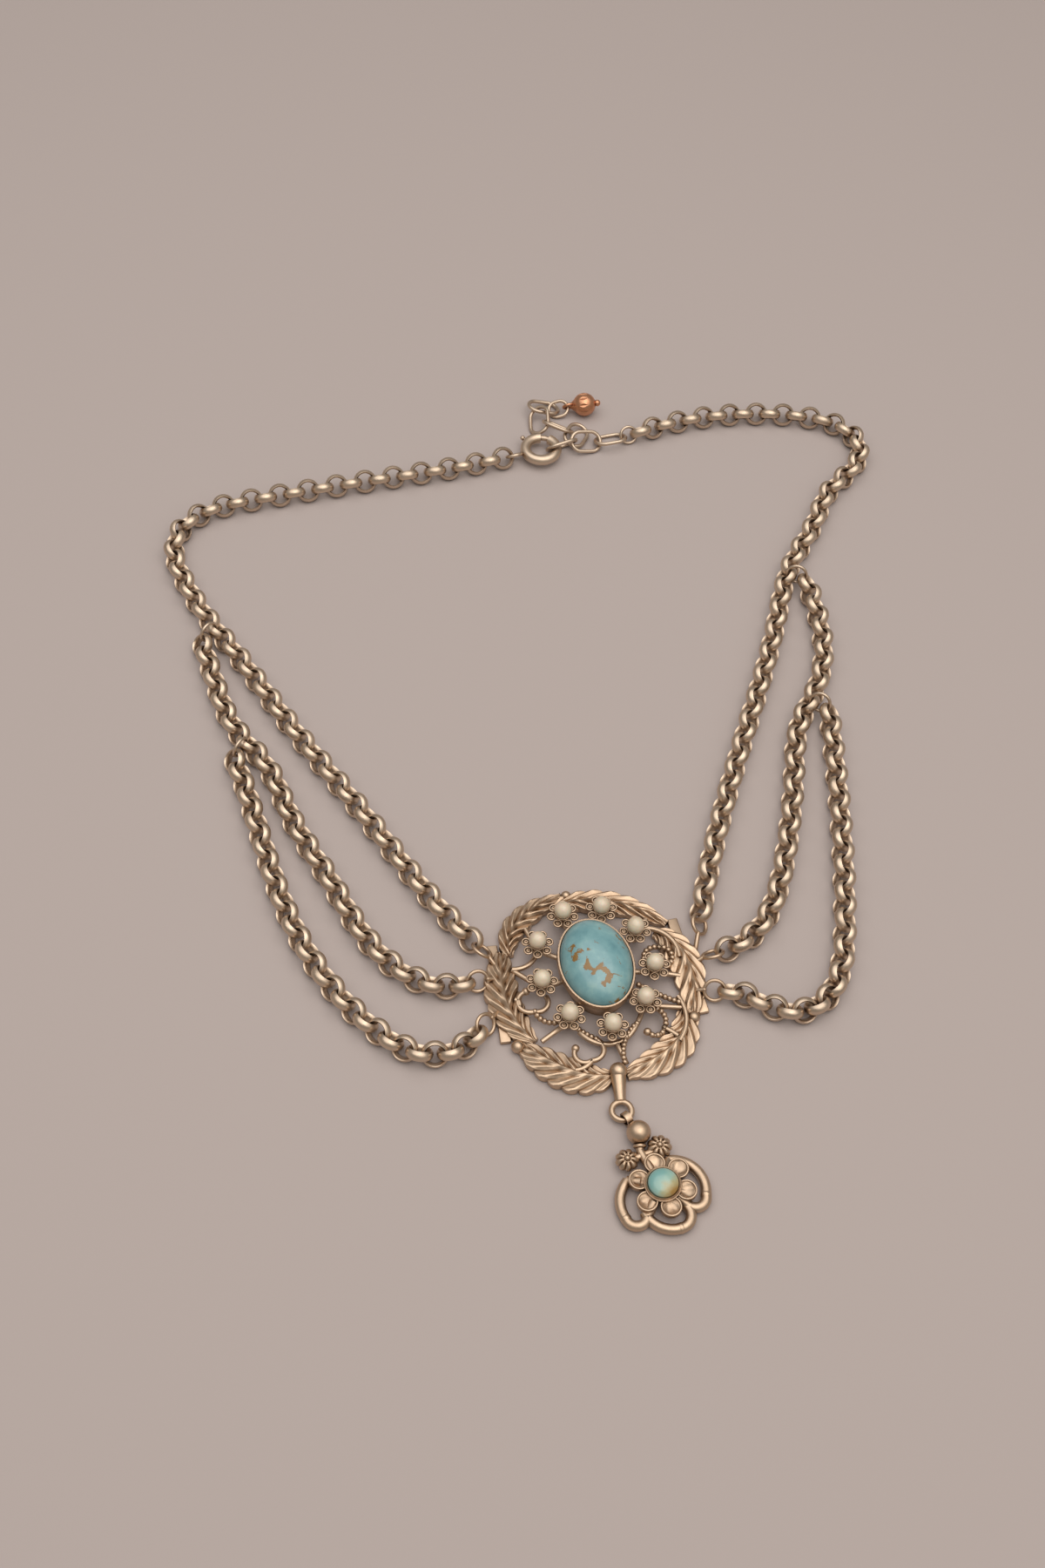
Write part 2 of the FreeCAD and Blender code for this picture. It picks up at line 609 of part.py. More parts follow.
ROUTES = {
    "left_inner": (
        (-22.5, 129.8), (-48.4, 121.8), (-76.2, 113.6), (-85.6, 109.6), (-90.4, 104.2),
        (-91.2, 97.6), (-88.3, 90.2), (-82.4, 80.5), (-75.3, 71.3), (-61.4, 52.6),
        (-43.4, 30.1), (-29.1, 11.8), (-22.9, 5.2),
    ),
    "left_middle": (
        (-81.7, 72.2), (-77.4, 61.4), (-72.4, 51.3), (-65.1, 42.5), (-59.5, 31.6),
        (-50.3, 17.0), (-40.4, 2.3), (-36.2, -1.5), (-30.8, -4.3), (-24.0, -4.3),
    ),
    "left_outer": (
        (-71.45, 43.4), (-63.5, 23.7), (-56.5, 7.4), (-46.6, -7.2), (-37.8, -15.2),
        (-30.5, -18.6), (-25.0, -17.9), (-21.0, -14.7),
    ),
    "right_inner": (
        (8.2, 140.2), (20.4, 145.1), (32.0, 147.4), (46.0, 147.3), (53.4, 144.8),
        (57.4, 139.4), (56.2, 132.6), (50.2, 124.6), (46.3, 114.7), (40.5, 101.7),
        (37.0, 86.8), (30.1, 58.8), (23.0, 30.6), (19.9, 13.8),
    ),
    "right_middle": (
        (43.7, 96.7), (45.9, 86.0), (46.2, 77.2), (43.9, 67.5), (40.6, 59.5),
        (38.8, 46.8), (36.7, 29.7), (34.3, 18.7), (31.2, 11.5), (24.6, 5.8),
    ),
    "right_outer": (
        (46.6, 61.9), (47.2, 47.3), (47.4, 29.7), (46.8, 12.5), (45.2, 1.8),
        (42.4, -3.6), (37.6, -6.5), (32.6, -5.9), (28.8, -4.2), (25.0, -3.2),
    ),
}
STRANDS = (
    # strand, links, lean of its first link
    ("left_inner", 64, -45),
    ("left_middle", 34, 45),
    ("left_outer", 30, 45),
    ("right_inner", 62, -45),
    ("right_middle", 33, -45),
    ("right_outer", 30, -45),
)
CHAIN_NODES = (
    # node, strand, first link, one past the last
    ("chain_end_link_left", "left_inner", 0, 1),
    ("chain_upper_left", "left_inner", 1, 34),
    ("chain_inner_left", "left_inner", 34, 64),
    ("chain_branch_left", "left_middle", 0, 9),
    ("chain_middle_left", "left_middle", 9, 34),
    ("chain_outer_left", "left_outer", 0, 30),
    ("chain_end_link_right", "right_inner", 0, 1),
    ("chain_upper_right", "right_inner", 1, 33),
    ("chain_junction_link_right", "right_inner", 33, 34),
    ("chain_inner_right", "right_inner", 34, 62),
    ("chain_branch_right", "right_middle", 0, 11),
    ("chain_middle_right", "right_middle", 11, 33),
    ("chain_outer_right", "right_outer", 0, 30),
)
JUMP_RINGS = (
    # node, strand and link it hooks, offset and axis as ahead, to the right and up
    ("jump_ring_upper_left", "left_inner", 34, (0.55, 2.15, 1.63), (0.966, -0.25, 0.07)),
    ("jump_ring_lower_left", "left_middle", 9, (0.7, 2.13, 1.56), (0.951, -0.305, -0.044)),
    ("jump_ring_upper_right", "right_inner", 33, (-0.26, -2.05, 1.3), (0.975, -0.04, 0.22)),
    ("jump_ring_lower_right", "right_middle", 11, (-0.24, -2.21, 1.7), (0.944, 0.0, 0.33)),
)
EXTENSION_LINKS = (
    # node, x, y, z, heading, rise and lean in degrees, end radius, wire radius, straight side
    ("extension_jump_ring", 5.496, 139.347, 1.765, -162.1, 0.0, -51.4, 1.8, 0.33, 0.0),
    ("extension_link_1", 1.462, 138.121, 1.339, -163.1, -1.0, 23.5, 2.25, 0.42, 2.4),
    ("extension_link_2", -4.072, 136.420, 1.985, -163.3, 12.0, -33.2, 2.25, 0.42, 2.4),
    ("extension_link_3", -9.519, 134.622, 2.307, 207.1, -0.2, 55.6, 2.25, 0.42, 2.4),
    ("extension_link_4", -6.326, 138.988, 1.248, 69.2, -4.3, 18.3, 2.25, 0.42, 2.4),
    ("extension_link_5", -10.492, 140.503, 2.107, 160.1, 7.0, 41.7, 2.25, 0.42, 2.4),
    ("extension_link_6", -14.803, 142.602, 1.889, 94.3, 10.9, -31.2, 2.25, 0.42, 2.4),
    ("extension_link_7", -13.984, 147.169, 1.556, 10.8, -16.7, -12.1, 2.25, 0.42, 2.4),
    ("extension_link_8", -10.579, 146.995, 1.400, 10.8, 14.4, 26.8, 1.8, 0.38, 0.8),
)
BEAD_PLACE = (-4.7, 147.6)


def turned_to(direction, normal):
    return Rotation(direction, Vector(), normal, "XZY")


def jump_ring(place, offset, axis):
    ahead = place.Rotation.multVec(Vector(1, 0, 0))
    right = Vector(ahead.y, -ahead.x, 0)
    along, aside, above = offset
    centre = place.Base + ahead * along + right * aside + UP * above
    along, aside, above = axis
    normal = ahead * along + right * aside + UP * above
    return Part.makeTorus(size("jump_ring_radius"), size("jump_wire_radius"), centre, normal)


def link_place(x, y, z, heading, rise, lean):
    """Place of a link by the direction of its length and its lean about that length."""
    flat = Vector(math.cos(math.radians(heading)), math.sin(math.radians(heading)), 0)
    right = Vector(flat.y, -flat.x, 0)
    ahead = flat * math.cos(math.radians(rise)) + UP * math.sin(math.radians(rise))
    above = right.cross(ahead)
    normal = above * math.cos(math.radians(lean)) + right * math.sin(math.radians(lean))
    return Placement(Vector(x, y, z), turned_to(ahead, normal))


def extension_bead(last_place):
    """Fluted ball with a tip, a cap and an eye that hooks the last extension link."""
    radius = size("bead_radius")
    centre = Vector(*BEAD_PLACE, radius + 0.03)
    ahead = last_place.Rotation.multVec(Vector(1, 0, 0))
    eye_normal = last_place.Rotation.multVec(Vector(0, 1, 0))
    eye_radius, wire = 1.15, 0.33
    eye_centre = last_place.Base + ahead * 2.45
    axis = centre - eye_centre
    axis.normalize()
    flutes = scalloped_block(10, radius * 0.92, radius * 1.02, -radius, radius)
    ball = flutes.common(Part.makeSphere(radius))
    ball = moved(ball, Placement(centre, Rotation(UP, axis)))
    stem = straight_wire(eye_centre + ahead * eye_radius, centre, 0.4)
    cap = Part.makeCone(0.6, 1.5, 1.1, centre - axis * (radius + 0.55), axis)
    tip = Part.makeSphere(0.75, centre + axis * (radius + 0.35))
    eye = Part.makeTorus(eye_radius, wire, eye_centre, eye_normal)
    return fused([ball, stem, cap, tip, eye])


strands = {}
for name, links, lean in STRANDS:
    print(name)
    strands[name] = strand(ROUTES[name], links, lean)

for node, name, first, last in CHAIN_NODES:
    chain_part(node, strands[name][first:last])

for node, name, link, offset, axis in JUMP_RINGS:
    shape_part(node, jump_ring(strands[name][link], offset, axis))

ends = [places[-1] for places in strands.values()]
shape_part("brooch_frame", brooch_frame(ends), turn="sizes.brooch_turn")
shape_part("cabochon", domed_oval(), east="sizes.cabochon_east * cos(sizes.brooch_turn)",
           north="sizes.cabochon_east * sin(sizes.brooch_turn)", turn="sizes.brooch_turn")
for number, (x, y, stem_x, stem_y) in enumerate(FLOWERS, start=1):
    pearl = doc.addObject("Part::Sphere", f"pearl_{number}")
    bind(pearl, "Radius", "sizes.pearl_radius")
    place = Rotation(UP, size("brooch_turn")).multVec(Vector(x, y, 0))
    finish_part(pearl, f"pearl_{number}", east=f"{place.x:.4f}", north=f"{place.y:.4f}",
                height="sizes.pearl_height")

shape_part("drop_frame", drop_frame())
shape_part("drop_stone", drop_stone(), east=str(DROP_FLOWER[0]), north=str(DROP_FLOWER[1]),
           height="sizes.drop_stone_girdle")

at_clasp = {"east": "sizes.clasp_east", "north": "sizes.clasp_north", "height": "sizes.clasp_height"}
shape_part("spring_ring_case", spring_ring_case(strands["left_inner"][0]), **at_clasp)
shape_part("spring_ring_bolt", spring_ring_bolt(), **at_clasp)

for node, x, y, z, heading, rise, lean, end_radius, wire, straight in EXTENSION_LINKS:
    last_place = link_place(x, y, z, heading, rise, lean)
    if straight:
        link = oval_link(end_radius, wire, straight)
    else:
        link = Part.makeTorus(end_radius, wire)
    shape_part(node, moved(link, last_place))
shape_part("extension_bead", extension_bead(last_place))

doc.recompute()
whole = None
for obj in parts:
    if any(word in obj.State for word in ("Invalid", "Error")):
        raise RuntimeError(f"{obj.Label} did not recompute")
    if obj.Shape.isNull() or not obj.Shape.isValid():
        raise RuntimeError(f"{obj.Label} has no valid shape")
    print(f"{obj.Label}: {len(obj.Shape.Solids)} solids, {obj.Shape.Volume:.1f} mm3, low {obj.Shape.BoundBox.ZMin:.2f}")
    box = obj.Shape.BoundBox
    if whole is None:
        whole = box
    else:
        whole.add(box)
print(f"whole {whole.XMin:.2f} {whole.YMin:.2f} {whole.ZMin:.2f} to "
      f"{whole.XMax:.2f} {whole.YMax:.2f} {whole.ZMax:.2f}")

os.makedirs("parts", exist_ok=True)
for obj in parts:
    obj.Shape.exportStep(f"parts/{obj.Label}.step")
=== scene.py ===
import bpy, bmesh, math, numpy, random
from mathutils import Matrix, Vector


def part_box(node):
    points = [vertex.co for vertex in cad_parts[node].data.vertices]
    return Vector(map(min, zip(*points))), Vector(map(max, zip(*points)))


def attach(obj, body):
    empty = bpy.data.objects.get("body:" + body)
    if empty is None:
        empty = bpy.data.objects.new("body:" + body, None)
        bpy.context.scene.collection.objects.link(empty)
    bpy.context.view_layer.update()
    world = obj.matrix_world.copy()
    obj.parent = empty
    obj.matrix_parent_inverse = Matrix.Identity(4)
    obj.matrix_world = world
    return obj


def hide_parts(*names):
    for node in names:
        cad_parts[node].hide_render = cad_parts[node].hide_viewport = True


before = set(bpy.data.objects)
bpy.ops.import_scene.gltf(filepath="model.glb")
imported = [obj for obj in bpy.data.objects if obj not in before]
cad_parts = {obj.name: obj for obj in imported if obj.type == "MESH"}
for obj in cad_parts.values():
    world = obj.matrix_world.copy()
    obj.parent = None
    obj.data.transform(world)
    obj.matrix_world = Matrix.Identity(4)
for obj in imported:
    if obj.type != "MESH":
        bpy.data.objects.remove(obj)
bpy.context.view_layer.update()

mm = 0.001
random.seed(7)
up = Vector((0, 0, 1))

# The brooch is turned on the table; everything is placed from its middle
layout = {"turn": 15.7, "cabochonEast": 0.25}
stoneLow, stoneHigh = (Vector(corner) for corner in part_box("cabochon"))
broochTurn = Matrix.Rotation(math.radians(layout["turn"]), 4, "Z")
broochMiddle = (stoneLow + stoneHigh) / 2 - broochTurn @ Vector((layout["cabochonEast"] * mm, 0, 0))
broochMiddle.z = 0
fromLayout = Matrix.Translation(broochMiddle)          # layout places, in metres
fromBrooch = fromLayout @ broochTurn                   # the brooch's own places


def at(x, y, z=0.0):
    return Vector((x, y, z)) * mm


# Nodes and materials

def linearColor(hexCode):
    channels = [int(hexCode[i:i + 2], 16) / 255 for i in (0, 2, 4)]
    return [c / 12.92 if c <= 0.04045 else ((c + 0.055) / 1.055) ** 2.4 for c in channels] + [1.0]


def addNode(tree, kind, settings=None, values=None, links=None):
    node = tree.nodes.new(kind)
    for name, value in (settings or {}).items():
        setattr(node, name, value)
    for name, value in (values or {}).items():
        node.inputs[name].default_value = value
    for name, socket in (links or {}).items():
        tree.links.new(socket, node.inputs[name])
    return node


def newMaterial(name):
    material = bpy.data.materials.new(name)
    material.use_nodes = True
    material.node_tree.nodes.clear()
    return material, material.node_tree


def finishMaterial(tree, shader):
    addNode(tree, "ShaderNodeOutputMaterial", links={"Surface": shader.outputs["BSDF"]})


def rampNode(tree, factor, stops):
    ramp = addNode(tree, "ShaderNodeValToRGB", links={"Fac": factor})
    elements = ramp.color_ramp.elements
    while len(elements) < len(stops):
        elements.new(0.5)
    for element, (position, hexCode) in zip(elements, stops):
        element.position = position
        element.color = linearColor(hexCode)
    return ramp


def addNoise(tree, vector, sizeMm, detail, roughness=0.5):
    return addNode(tree, "ShaderNodeTexNoise", {},
                   {"Scale": 1 / (sizeMm * mm), "Detail": detail, "Roughness": roughness}, {"Vector": vector})


def addRange(tree, value, fromMin, fromMax, toMin=0.0, toMax=1.0):
    limits = {"From Min": fromMin, "From Max": fromMax, "To Min": toMin, "To Max": toMax}
    return addNode(tree, "ShaderNodeMapRange", {}, limits, {"Value": value})


castSettings = {
    # cast and oxidised silver: bright where fingers polish it, brown where they don't reach; its recesses are
    # darkened further by painted shade
    "agedSilver": {"bright": "CDB49A", "worn": "A3886F", "tarnishAndShade": "3C2C22", "rough": (0.3, 0.48),
                   "recessMm": 0.8, "grainMm": 1.6, "fineMm": 0.35, "bumpMm": 0.02},
    # drawn and soldered chain wire, smoother and a little darker than the casting
    "chainSilver": {"bright": "D4C0AA", "worn": "B29A84", "tarnishAndShade": "5E4B3D", "rough": (0.3, 0.48),
                    "recessMm": 1.0, "grainMm": 2.4, "fineMm": 0.35, "bumpMm": 0.012},
    # copper-toned plating over brass, rubbed through on the flutes
    "copperPlate": {"bright": "D9A07C", "worn": "B47D5E", "tarnishAndShade": "6A4433", "rough": (0.28, 0.46),
                    "recessMm": 0.8, "grainMm": 1.5, "fineMm": 0.35, "bumpMm": 0.015},
}


def castMetalMaterial(name):
    s = castSettings[name]
    material, tree = newMaterial(name)
    coords = addNode(tree, "ShaderNodeTexCoord").outputs["Object"]
    grain = addNoise(tree, coords, s["grainMm"], 5.0)
    # painted shade: the ambient occlusion node darkens recesses and the gaps between parts towards the
    # darkest colour, on top of the real oxide there
    recess = addNode(tree, "ShaderNodeAmbientOcclusion", {"samples": 6}, {"Distance": s["recessMm"] * mm})
    dirt = addNode(tree, "ShaderNodeMath", {"operation": "MULTIPLY_ADD"}, {1: 0.3, 2: -0.15},
                   {0: grain.outputs["Fac"]})
    cleanAndUnshaded = addNode(tree, "ShaderNodeMath", {"operation": "ADD", "use_clamp": True},
                      links={0: recess.outputs["AO"], 1: dirt.outputs[0]})
    tone = rampNode(tree, cleanAndUnshaded.outputs[0],
                    [(0.12, s["tarnishAndShade"]), (0.55, s["worn"]), (0.95, s["bright"])])
    low, high = s["rough"]
    gloss = addRange(tree, grain.outputs["Fac"], 0.3, 0.7, low, high)
    fine = addNoise(tree, coords, s["fineMm"], 3.0)
    bump = addNode(tree, "ShaderNodeBump", {}, {"Strength": 0.35, "Distance": s["bumpMm"] * mm},
                   {"Height": fine.outputs["Fac"]})
    shader = addNode(tree, "ShaderNodeBsdfPrincipled", {}, {"Metallic": 1.0},
                     {"Base Color": tone.outputs["Color"], "Roughness": gloss.outputs["Result"],
                      "Normal": bump.outputs["Normal"]})
    finishMaterial(tree, shader)
    return material


turquoiseSettings = {
    "body": [(0.25, "55868E"), (0.42, "6E9DA4"), (0.58, "7FACB0"), (0.75, "9CC0BA")],
    "matrix": [(0.4, "5E4418"), (0.55, "825E22"), (0.7, "94702E")],
    "warpMm": 5.0, "shiftMm": 3.2, "webMm": 3.6, "cloudMm": 4.5, "patchMm": 7.0,
    "webWidth": 0.2, "webEdge": 0.03, "dentMm": 0.03,
}


def turquoiseMaterial():
    # polished turquoise: waxy blue-green with a few golden-brown flakes of matrix
    s = turquoiseSettings
    material, tree = newMaterial("polishedTurquoise")
    coords = addNode(tree, "ShaderNodeTexCoord").outputs["Object"]
    warp = addNoise(tree, coords, s["warpMm"], 4.0)
    shift = addNode(tree, "ShaderNodeVectorMath", {"operation": "MULTIPLY_ADD"},
                    {1: (s["shiftMm"] * mm,) * 3}, {0: warp.outputs["Color"], 2: coords})
    web = addNode(tree, "ShaderNodeTexVoronoi", {"feature": "DISTANCE_TO_EDGE"},
                  {"Scale": 1 / (s["webMm"] * mm)}, {"Vector": shift.outputs[0]})
    cloud = addNoise(tree, coords, s["cloudMm"], 5.0, 0.6)
    body = rampNode(tree, cloud.outputs["Fac"], s["body"])
    patch = addNoise(tree, shift.outputs[0], s["patchMm"], 6.0, 0.7)
    thick = addRange(tree, patch.outputs["Fac"], 0.52, 0.68, 0.0, s["webWidth"])
    inWeb = addNode(tree, "ShaderNodeMath", {"operation": "SUBTRACT"},
                    links={0: thick.outputs["Result"], 1: web.outputs["Distance"]})
    veins = addRange(tree, inWeb.outputs[0], 0.0, s["webEdge"])
    matrix = rampNode(tree, patch.outputs["Fac"], s["matrix"])
    color = addNode(tree, "ShaderNodeMix", {"data_type": "RGBA"},
                    links={0: veins.outputs["Result"], 6: body.outputs["Color"], 7: matrix.outputs["Color"]})
    dents = addNode(tree, "ShaderNodeBump", {}, {"Strength": 0.25, "Distance": s["dentMm"] * mm},
                    {"Height": cloud.outputs["Fac"]})
    shader = addNode(tree, "ShaderNodeBsdfPrincipled", {},
                     {"Roughness": 0.3, "IOR": 1.61, "Coat Weight": 0.35, "Coat Roughness": 0.12},
                     {"Base Color": color.outputs[2], "Normal": dents.outputs["Normal"]})
    finishMaterial(tree, shader)
    return material


def pearlMaterial():
    # nacre: cream body under a soft bright coat with a faint pink and green cast, darkened by painted shade
    # towards its rim
    material, tree = newMaterial("pearlNacre")
    coords = addNode(tree, "ShaderNodeTexCoord").outputs["Object"]
    bands = addNoise(tree, coords, 2.2, 2.0)
    tone = rampNode(tree, bands.outputs["Fac"], [(0.3, "E2D6C2"), (0.5, "E8DDCA"), (0.7, "E4D4C4")])
    # painted shade: the colour is brightest where the pearl faces the camera and darkens towards its rim
    facing = addNode(tree, "ShaderNodeLayerWeight", {}, {"Blend": 0.35})
    edge = rampNode(tree, facing.outputs["Facing"], [(0.1, "F4EEE2"), (0.6, "D2C4AE"), (0.95, "A08E78")])
    color = addNode(tree, "ShaderNodeMix", {"data_type": "RGBA", "blend_type": "MULTIPLY"}, {0: 0.75},
                    {6: tone.outputs["Color"], 7: edge.outputs["Color"]})
    shader = addNode(tree, "ShaderNodeBsdfPrincipled", {},
                     {"Roughness": 0.28, "IOR": 1.6, "Coat Weight": 0.6, "Coat Roughness": 0.1,
                      "Subsurface Weight": 0.15, "Subsurface Scale": 0.6 * mm},
                     {"Base Color": color.outputs[2]})
    finishMaterial(tree, shader)
    return material


def dropStoneMaterial(middle):
    # pale turquoise that runs out into tan host rock on one side
    material, tree = newMaterial("paleTurquoise")
    coords = addNode(tree, "ShaderNodeTexCoord").outputs["Object"]
    centred = addNode(tree, "ShaderNodeMapping", {"vector_type": "POINT"},
                      {"Location": tuple(-middle)}, {"Vector": coords})
    across = 2 * dropStone["radiusMm"] * mm
    along = addNode(tree, "ShaderNodeVectorMath", {"operation": "DOT_PRODUCT"},
                    {1: (0.83 / across, -0.55 / across, 0.0)}, {0: centred.outputs[0]})
    cloud = addNoise(tree, coords, 1.8, 4.0)
    mixed = addNode(tree, "ShaderNodeMath", {"operation": "MULTIPLY_ADD"}, {1: 0.5},
                    {0: cloud.outputs["Fac"], 2: along.outputs["Value"]})
    color = rampNode(tree, mixed.outputs[0],
                     [(0.0, "7FB0AC"), (0.3, "9CBFB2"), (0.5, "B4AC80"), (0.72, "A5803F")])
    shader = addNode(tree, "ShaderNodeBsdfPrincipled", {},
                     {"Roughness": 0.25, "IOR": 1.6, "Coat Weight": 0.3, "Coat Roughness": 0.1},
                     {"Base Color": color.outputs["Color"]})
    finishMaterial(tree, shader)
    return material


agedSilver = castMetalMaterial("agedSilver")
chainSilver = castMetalMaterial("chainSilver")
copperPlate = castMetalMaterial("copperPlate")
turquoise = turquoiseMaterial()
nacre = pearlMaterial()
print("materials ready")


# Mesh helpers

sharpAngle = math.radians(50)


def makePiece(bm, name, material, body, nodes=(), place=None):
    if place is not None:
        bm.transform(place)
    for edge in bm.edges:
        edge.smooth = edge.calc_face_angle(0.0) < sharpAngle
    mesh = bpy.data.meshes.new(name)
    bm.to_mesh(mesh)
    bm.free()
    mesh.polygons.foreach_set("use_smooth", [True] * len(mesh.polygons))
    piece = bpy.data.objects.new(name, mesh)
    bpy.context.scene.collection.objects.link(piece)
    piece.data.materials.append(material)
    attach(piece, body)
    if nodes:
        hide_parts(*nodes)
    return piece


def addBall(bm, centre, radius, stretch=(1, 1, 1), segments=12):
    place = Matrix.Translation(centre) @ Matrix.Diagonal((*stretch, 1))
    return bmesh.ops.create_uvsphere(bm, u_segments=segments, v_segments=max(6, segments * 2 // 3),
                                     radius=radius, matrix=place)["verts"]


def addDisc(bm, centre, radiusMm, depthMm, segments):
    bmesh.ops.create_cone(bm, cap_ends=True, segments=segments, radius1=radiusMm * mm, radius2=radiusMm * mm,
                          depth=depthMm * mm, matrix=Matrix.Translation(centre))


def turnTo(direction):
    # turns Z into the direction
    return Vector(direction).to_track_quat("Z", "Y").to_matrix().to_4x4()


def addCopy(bm, mesh, place):
    placed = mesh.copy()
    placed.transform(place)
    bm.from_mesh(placed)
    bpy.data.meshes.remove(placed)


def spinMesh(name, points, steps):
    # closed section turned once round Z
    bm = bmesh.new()
    verts = [bm.verts.new(point) for point in points]
    edges = [bm.edges.new(pair) for pair in zip(verts, verts[1:] + verts[:1])]
    bmesh.ops.spin(bm, geom=verts + edges, cent=(0, 0, 0), axis=(0, 0, 1), dvec=(0, 0, 0),
                   angle=2 * math.pi, steps=steps, use_merge=True)
    bmesh.ops.remove_doubles(bm, verts=bm.verts, dist=1e-7)
    bmesh.ops.recalc_face_normals(bm, faces=bm.faces)
    mesh = bpy.data.meshes.new(name)
    bm.to_mesh(mesh)
    bm.free()
    return mesh


def addWire(bm, points, radius, sides=3):
    # round wire with closed ends, drawn through the points
    curve = bpy.data.curves.new("wire", "CURVE")
    curve.dimensions = "3D"
    curve.bevel_depth, curve.bevel_resolution = radius, sides
    curve.resolution_u = 6
    curve.use_fill_caps = True
    spline = curve.splines.new("NURBS")
    spline.points.add(len(points) - 1)
    for target, point in zip(spline.points, points):
        target.co = (*point, 1)
    spline.order_u = min(4, len(points))
    spline.use_endpoint_u = True
    holder = bpy.data.objects.new("wire", curve)
    mesh = bpy.data.meshes.new_from_object(holder)
    bm.from_mesh(mesh)
    bpy.data.objects.remove(holder)
    bpy.data.curves.remove(curve)
    bpy.data.meshes.remove(mesh)


# Chains and rings: each solid of a CAD node gives the place of one smooth link

def looseSolids(node):
    bm = bmesh.new()
    bm.from_mesh(bpy.data.objects[node].data)
    bmesh.ops.remove_doubles(bm, verts=bm.verts, dist=1e-6)
    waiting, solids = set(bm.verts), []
    while waiting:
        front = [waiting.pop()]
        solid = list(front)
        while front:
            for edge in front.pop().link_edges:
                for vert in edge.verts:
                    if vert in waiting:
                        waiting.remove(vert)
                        front.append(vert)
                        solid.append(vert)
        solids.append([vert.co.copy() for vert in solid])
    bm.free()
    return solids


def ringPlace(points):
    # middle, and a frame with X along the ring's length and Z along its hole
    low = Vector([min(p[i] for p in points) for i in range(3)])
    high = Vector([max(p[i] for p in points) for i in range(3)])
    middle = (low + high) / 2
    cloud = numpy.array([tuple(p - middle) for p in points])
    values, axes = numpy.linalg.eigh(cloud.T @ cloud)
    hole, length = Vector(axes[:, 0]), Vector(axes[:, 2])
    if hole.z < 0:
        hole.negate()
    across = hole.cross(length)
    turn = Matrix((length, across, hole)).transposed().to_4x4()
    return Matrix.Translation(middle) @ turn


chain = {
    "holeMm": 1.8, "rimMm": 2.56, "widthMm": 1.9, "easeMm": 0.25,   # half-round band of the rolo link
    "domePoints": 6, "steps": 26,
    "nodes": ["chain_end_link_left", "chain_upper_left", "chain_inner_left", "chain_branch_left",
              "chain_middle_left", "chain_outer_left", "chain_end_link_right", "chain_upper_right",
              "chain_junction_link_right", "chain_inner_right", "chain_branch_right",
              "chain_middle_right", "chain_outer_right"],
}


def roloMesh():
    s = chain
    half, ease = s["widthMm"] / 2, s["easeMm"]
    points = [at(s["holeMm"], 0, ease - half), at(s["holeMm"], 0, half - ease)]
    edge = s["holeMm"] + ease
    rise = s["rimMm"] - edge
    bend = (rise * rise + half * half) / (2 * rise)      # radius of the dome through its three points
    sweep = math.asin(half / bend)
    for k in range(s["domePoints"] + 1):
        angle = sweep * (1 - 2 * k / s["domePoints"])
        points.append(at(s["rimMm"] - bend + bend * math.cos(angle), 0, bend * math.sin(angle)))
    return spinMesh("roloLink", points, s["steps"])


def torusMesh(name, ringMm, wireMm, steps=40, sides=12):
    points = []
    for k in range(sides):
        angle = 2 * math.pi * k / sides
        points.append(at(ringMm + wireMm * math.cos(angle), 0, wireMm * math.sin(angle)))
    return spinMesh(name, points, steps)


roloLink = roloMesh()
for node in chain["nodes"]:
    bm = bmesh.new()
    for points in looseSolids(node):
        addCopy(bm, roloLink, ringPlace(points))
    makePiece(bm, node + "_links", chainSilver, "necklace", [node])
print("chains ready")

rings = {
    # node: radius to the middle of the wire, radius of the wire, straight side, in millimetres
    "jump_ring_upper_left": (2.0, 0.33, 0), "jump_ring_lower_left": (2.0, 0.33, 0),
    "jump_ring_upper_right": (2.0, 0.33, 0), "jump_ring_lower_right": (2.0, 0.33, 0),
    "extension_jump_ring": (1.8, 0.33, 0), "extension_link_8": (1.8, 0.38, 0.8),
    **{f"extension_link_{k}": (2.25, 0.42, 2.4) for k in range(1, 8)},
}


def longRing(ringMm, wireMm, straightMm):
    # a round ring pulled apart in X, so that two sides are straight
    bm = bmesh.new()
    bm.from_mesh(torusMesh("ring", ringMm, wireMm))
    for vert in bm.verts:
        if abs(vert.co.x) > 1e-7:
            vert.co.x += math.copysign(straightMm * mm / 2, vert.co.x)
    return bm


for node, sizes in rings.items():
    makePiece(longRing(*sizes), node + "_wire", chainSilver, "necklace", [node],
              ringPlace(looseSolids(node)[0]))
print("rings ready")


# Stones and pearls

cabochon = {"halfWidthMm": 6.5, "halfLengthMm": 9.0, "girdleMm": 4.5, "baseMm": 3.95, "domeMm": 4.5}


def buildCabochon():
    s = cabochon
    bm = bmesh.new()
    bmesh.ops.create_uvsphere(bm, u_segments=64, v_segments=40, radius=1.0)
    lower = [vert for vert in bm.verts if vert.co.z < -0.01]
    for vert in lower:                                     # the flat back, drawn in a little
        vert.co.z = -(s["girdleMm"] - s["baseMm"]) / s["domeMm"] * min(1, -vert.co.z * 4)
    bmesh.ops.scale(bm, vec=at(s["halfWidthMm"], s["halfLengthMm"], s["domeMm"]), verts=bm.verts)
    bmesh.ops.translate(bm, vec=at(layout["cabochonEast"], 0, s["girdleMm"]), verts=bm.verts)
    bmesh.ops.recalc_face_normals(bm, faces=bm.faces)
    makePiece(bm, "cabochon_polished", turquoise, "necklace", ["cabochon"], fromBrooch)


buildCabochon()
for number in range(1, 10):
    low, high = (Vector(corner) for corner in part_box(f"pearl_{number}"))
    bm = bmesh.new()
    squat = 1 - random.uniform(0, 0.02)                    # no pearl is quite round
    addBall(bm, (low + high) / 2, (high.x - low.x) / 2, (1, squat, 1), 40)
    makePiece(bm, f"pearl_{number}_nacre", nacre, "necklace", [f"pearl_{number}"])

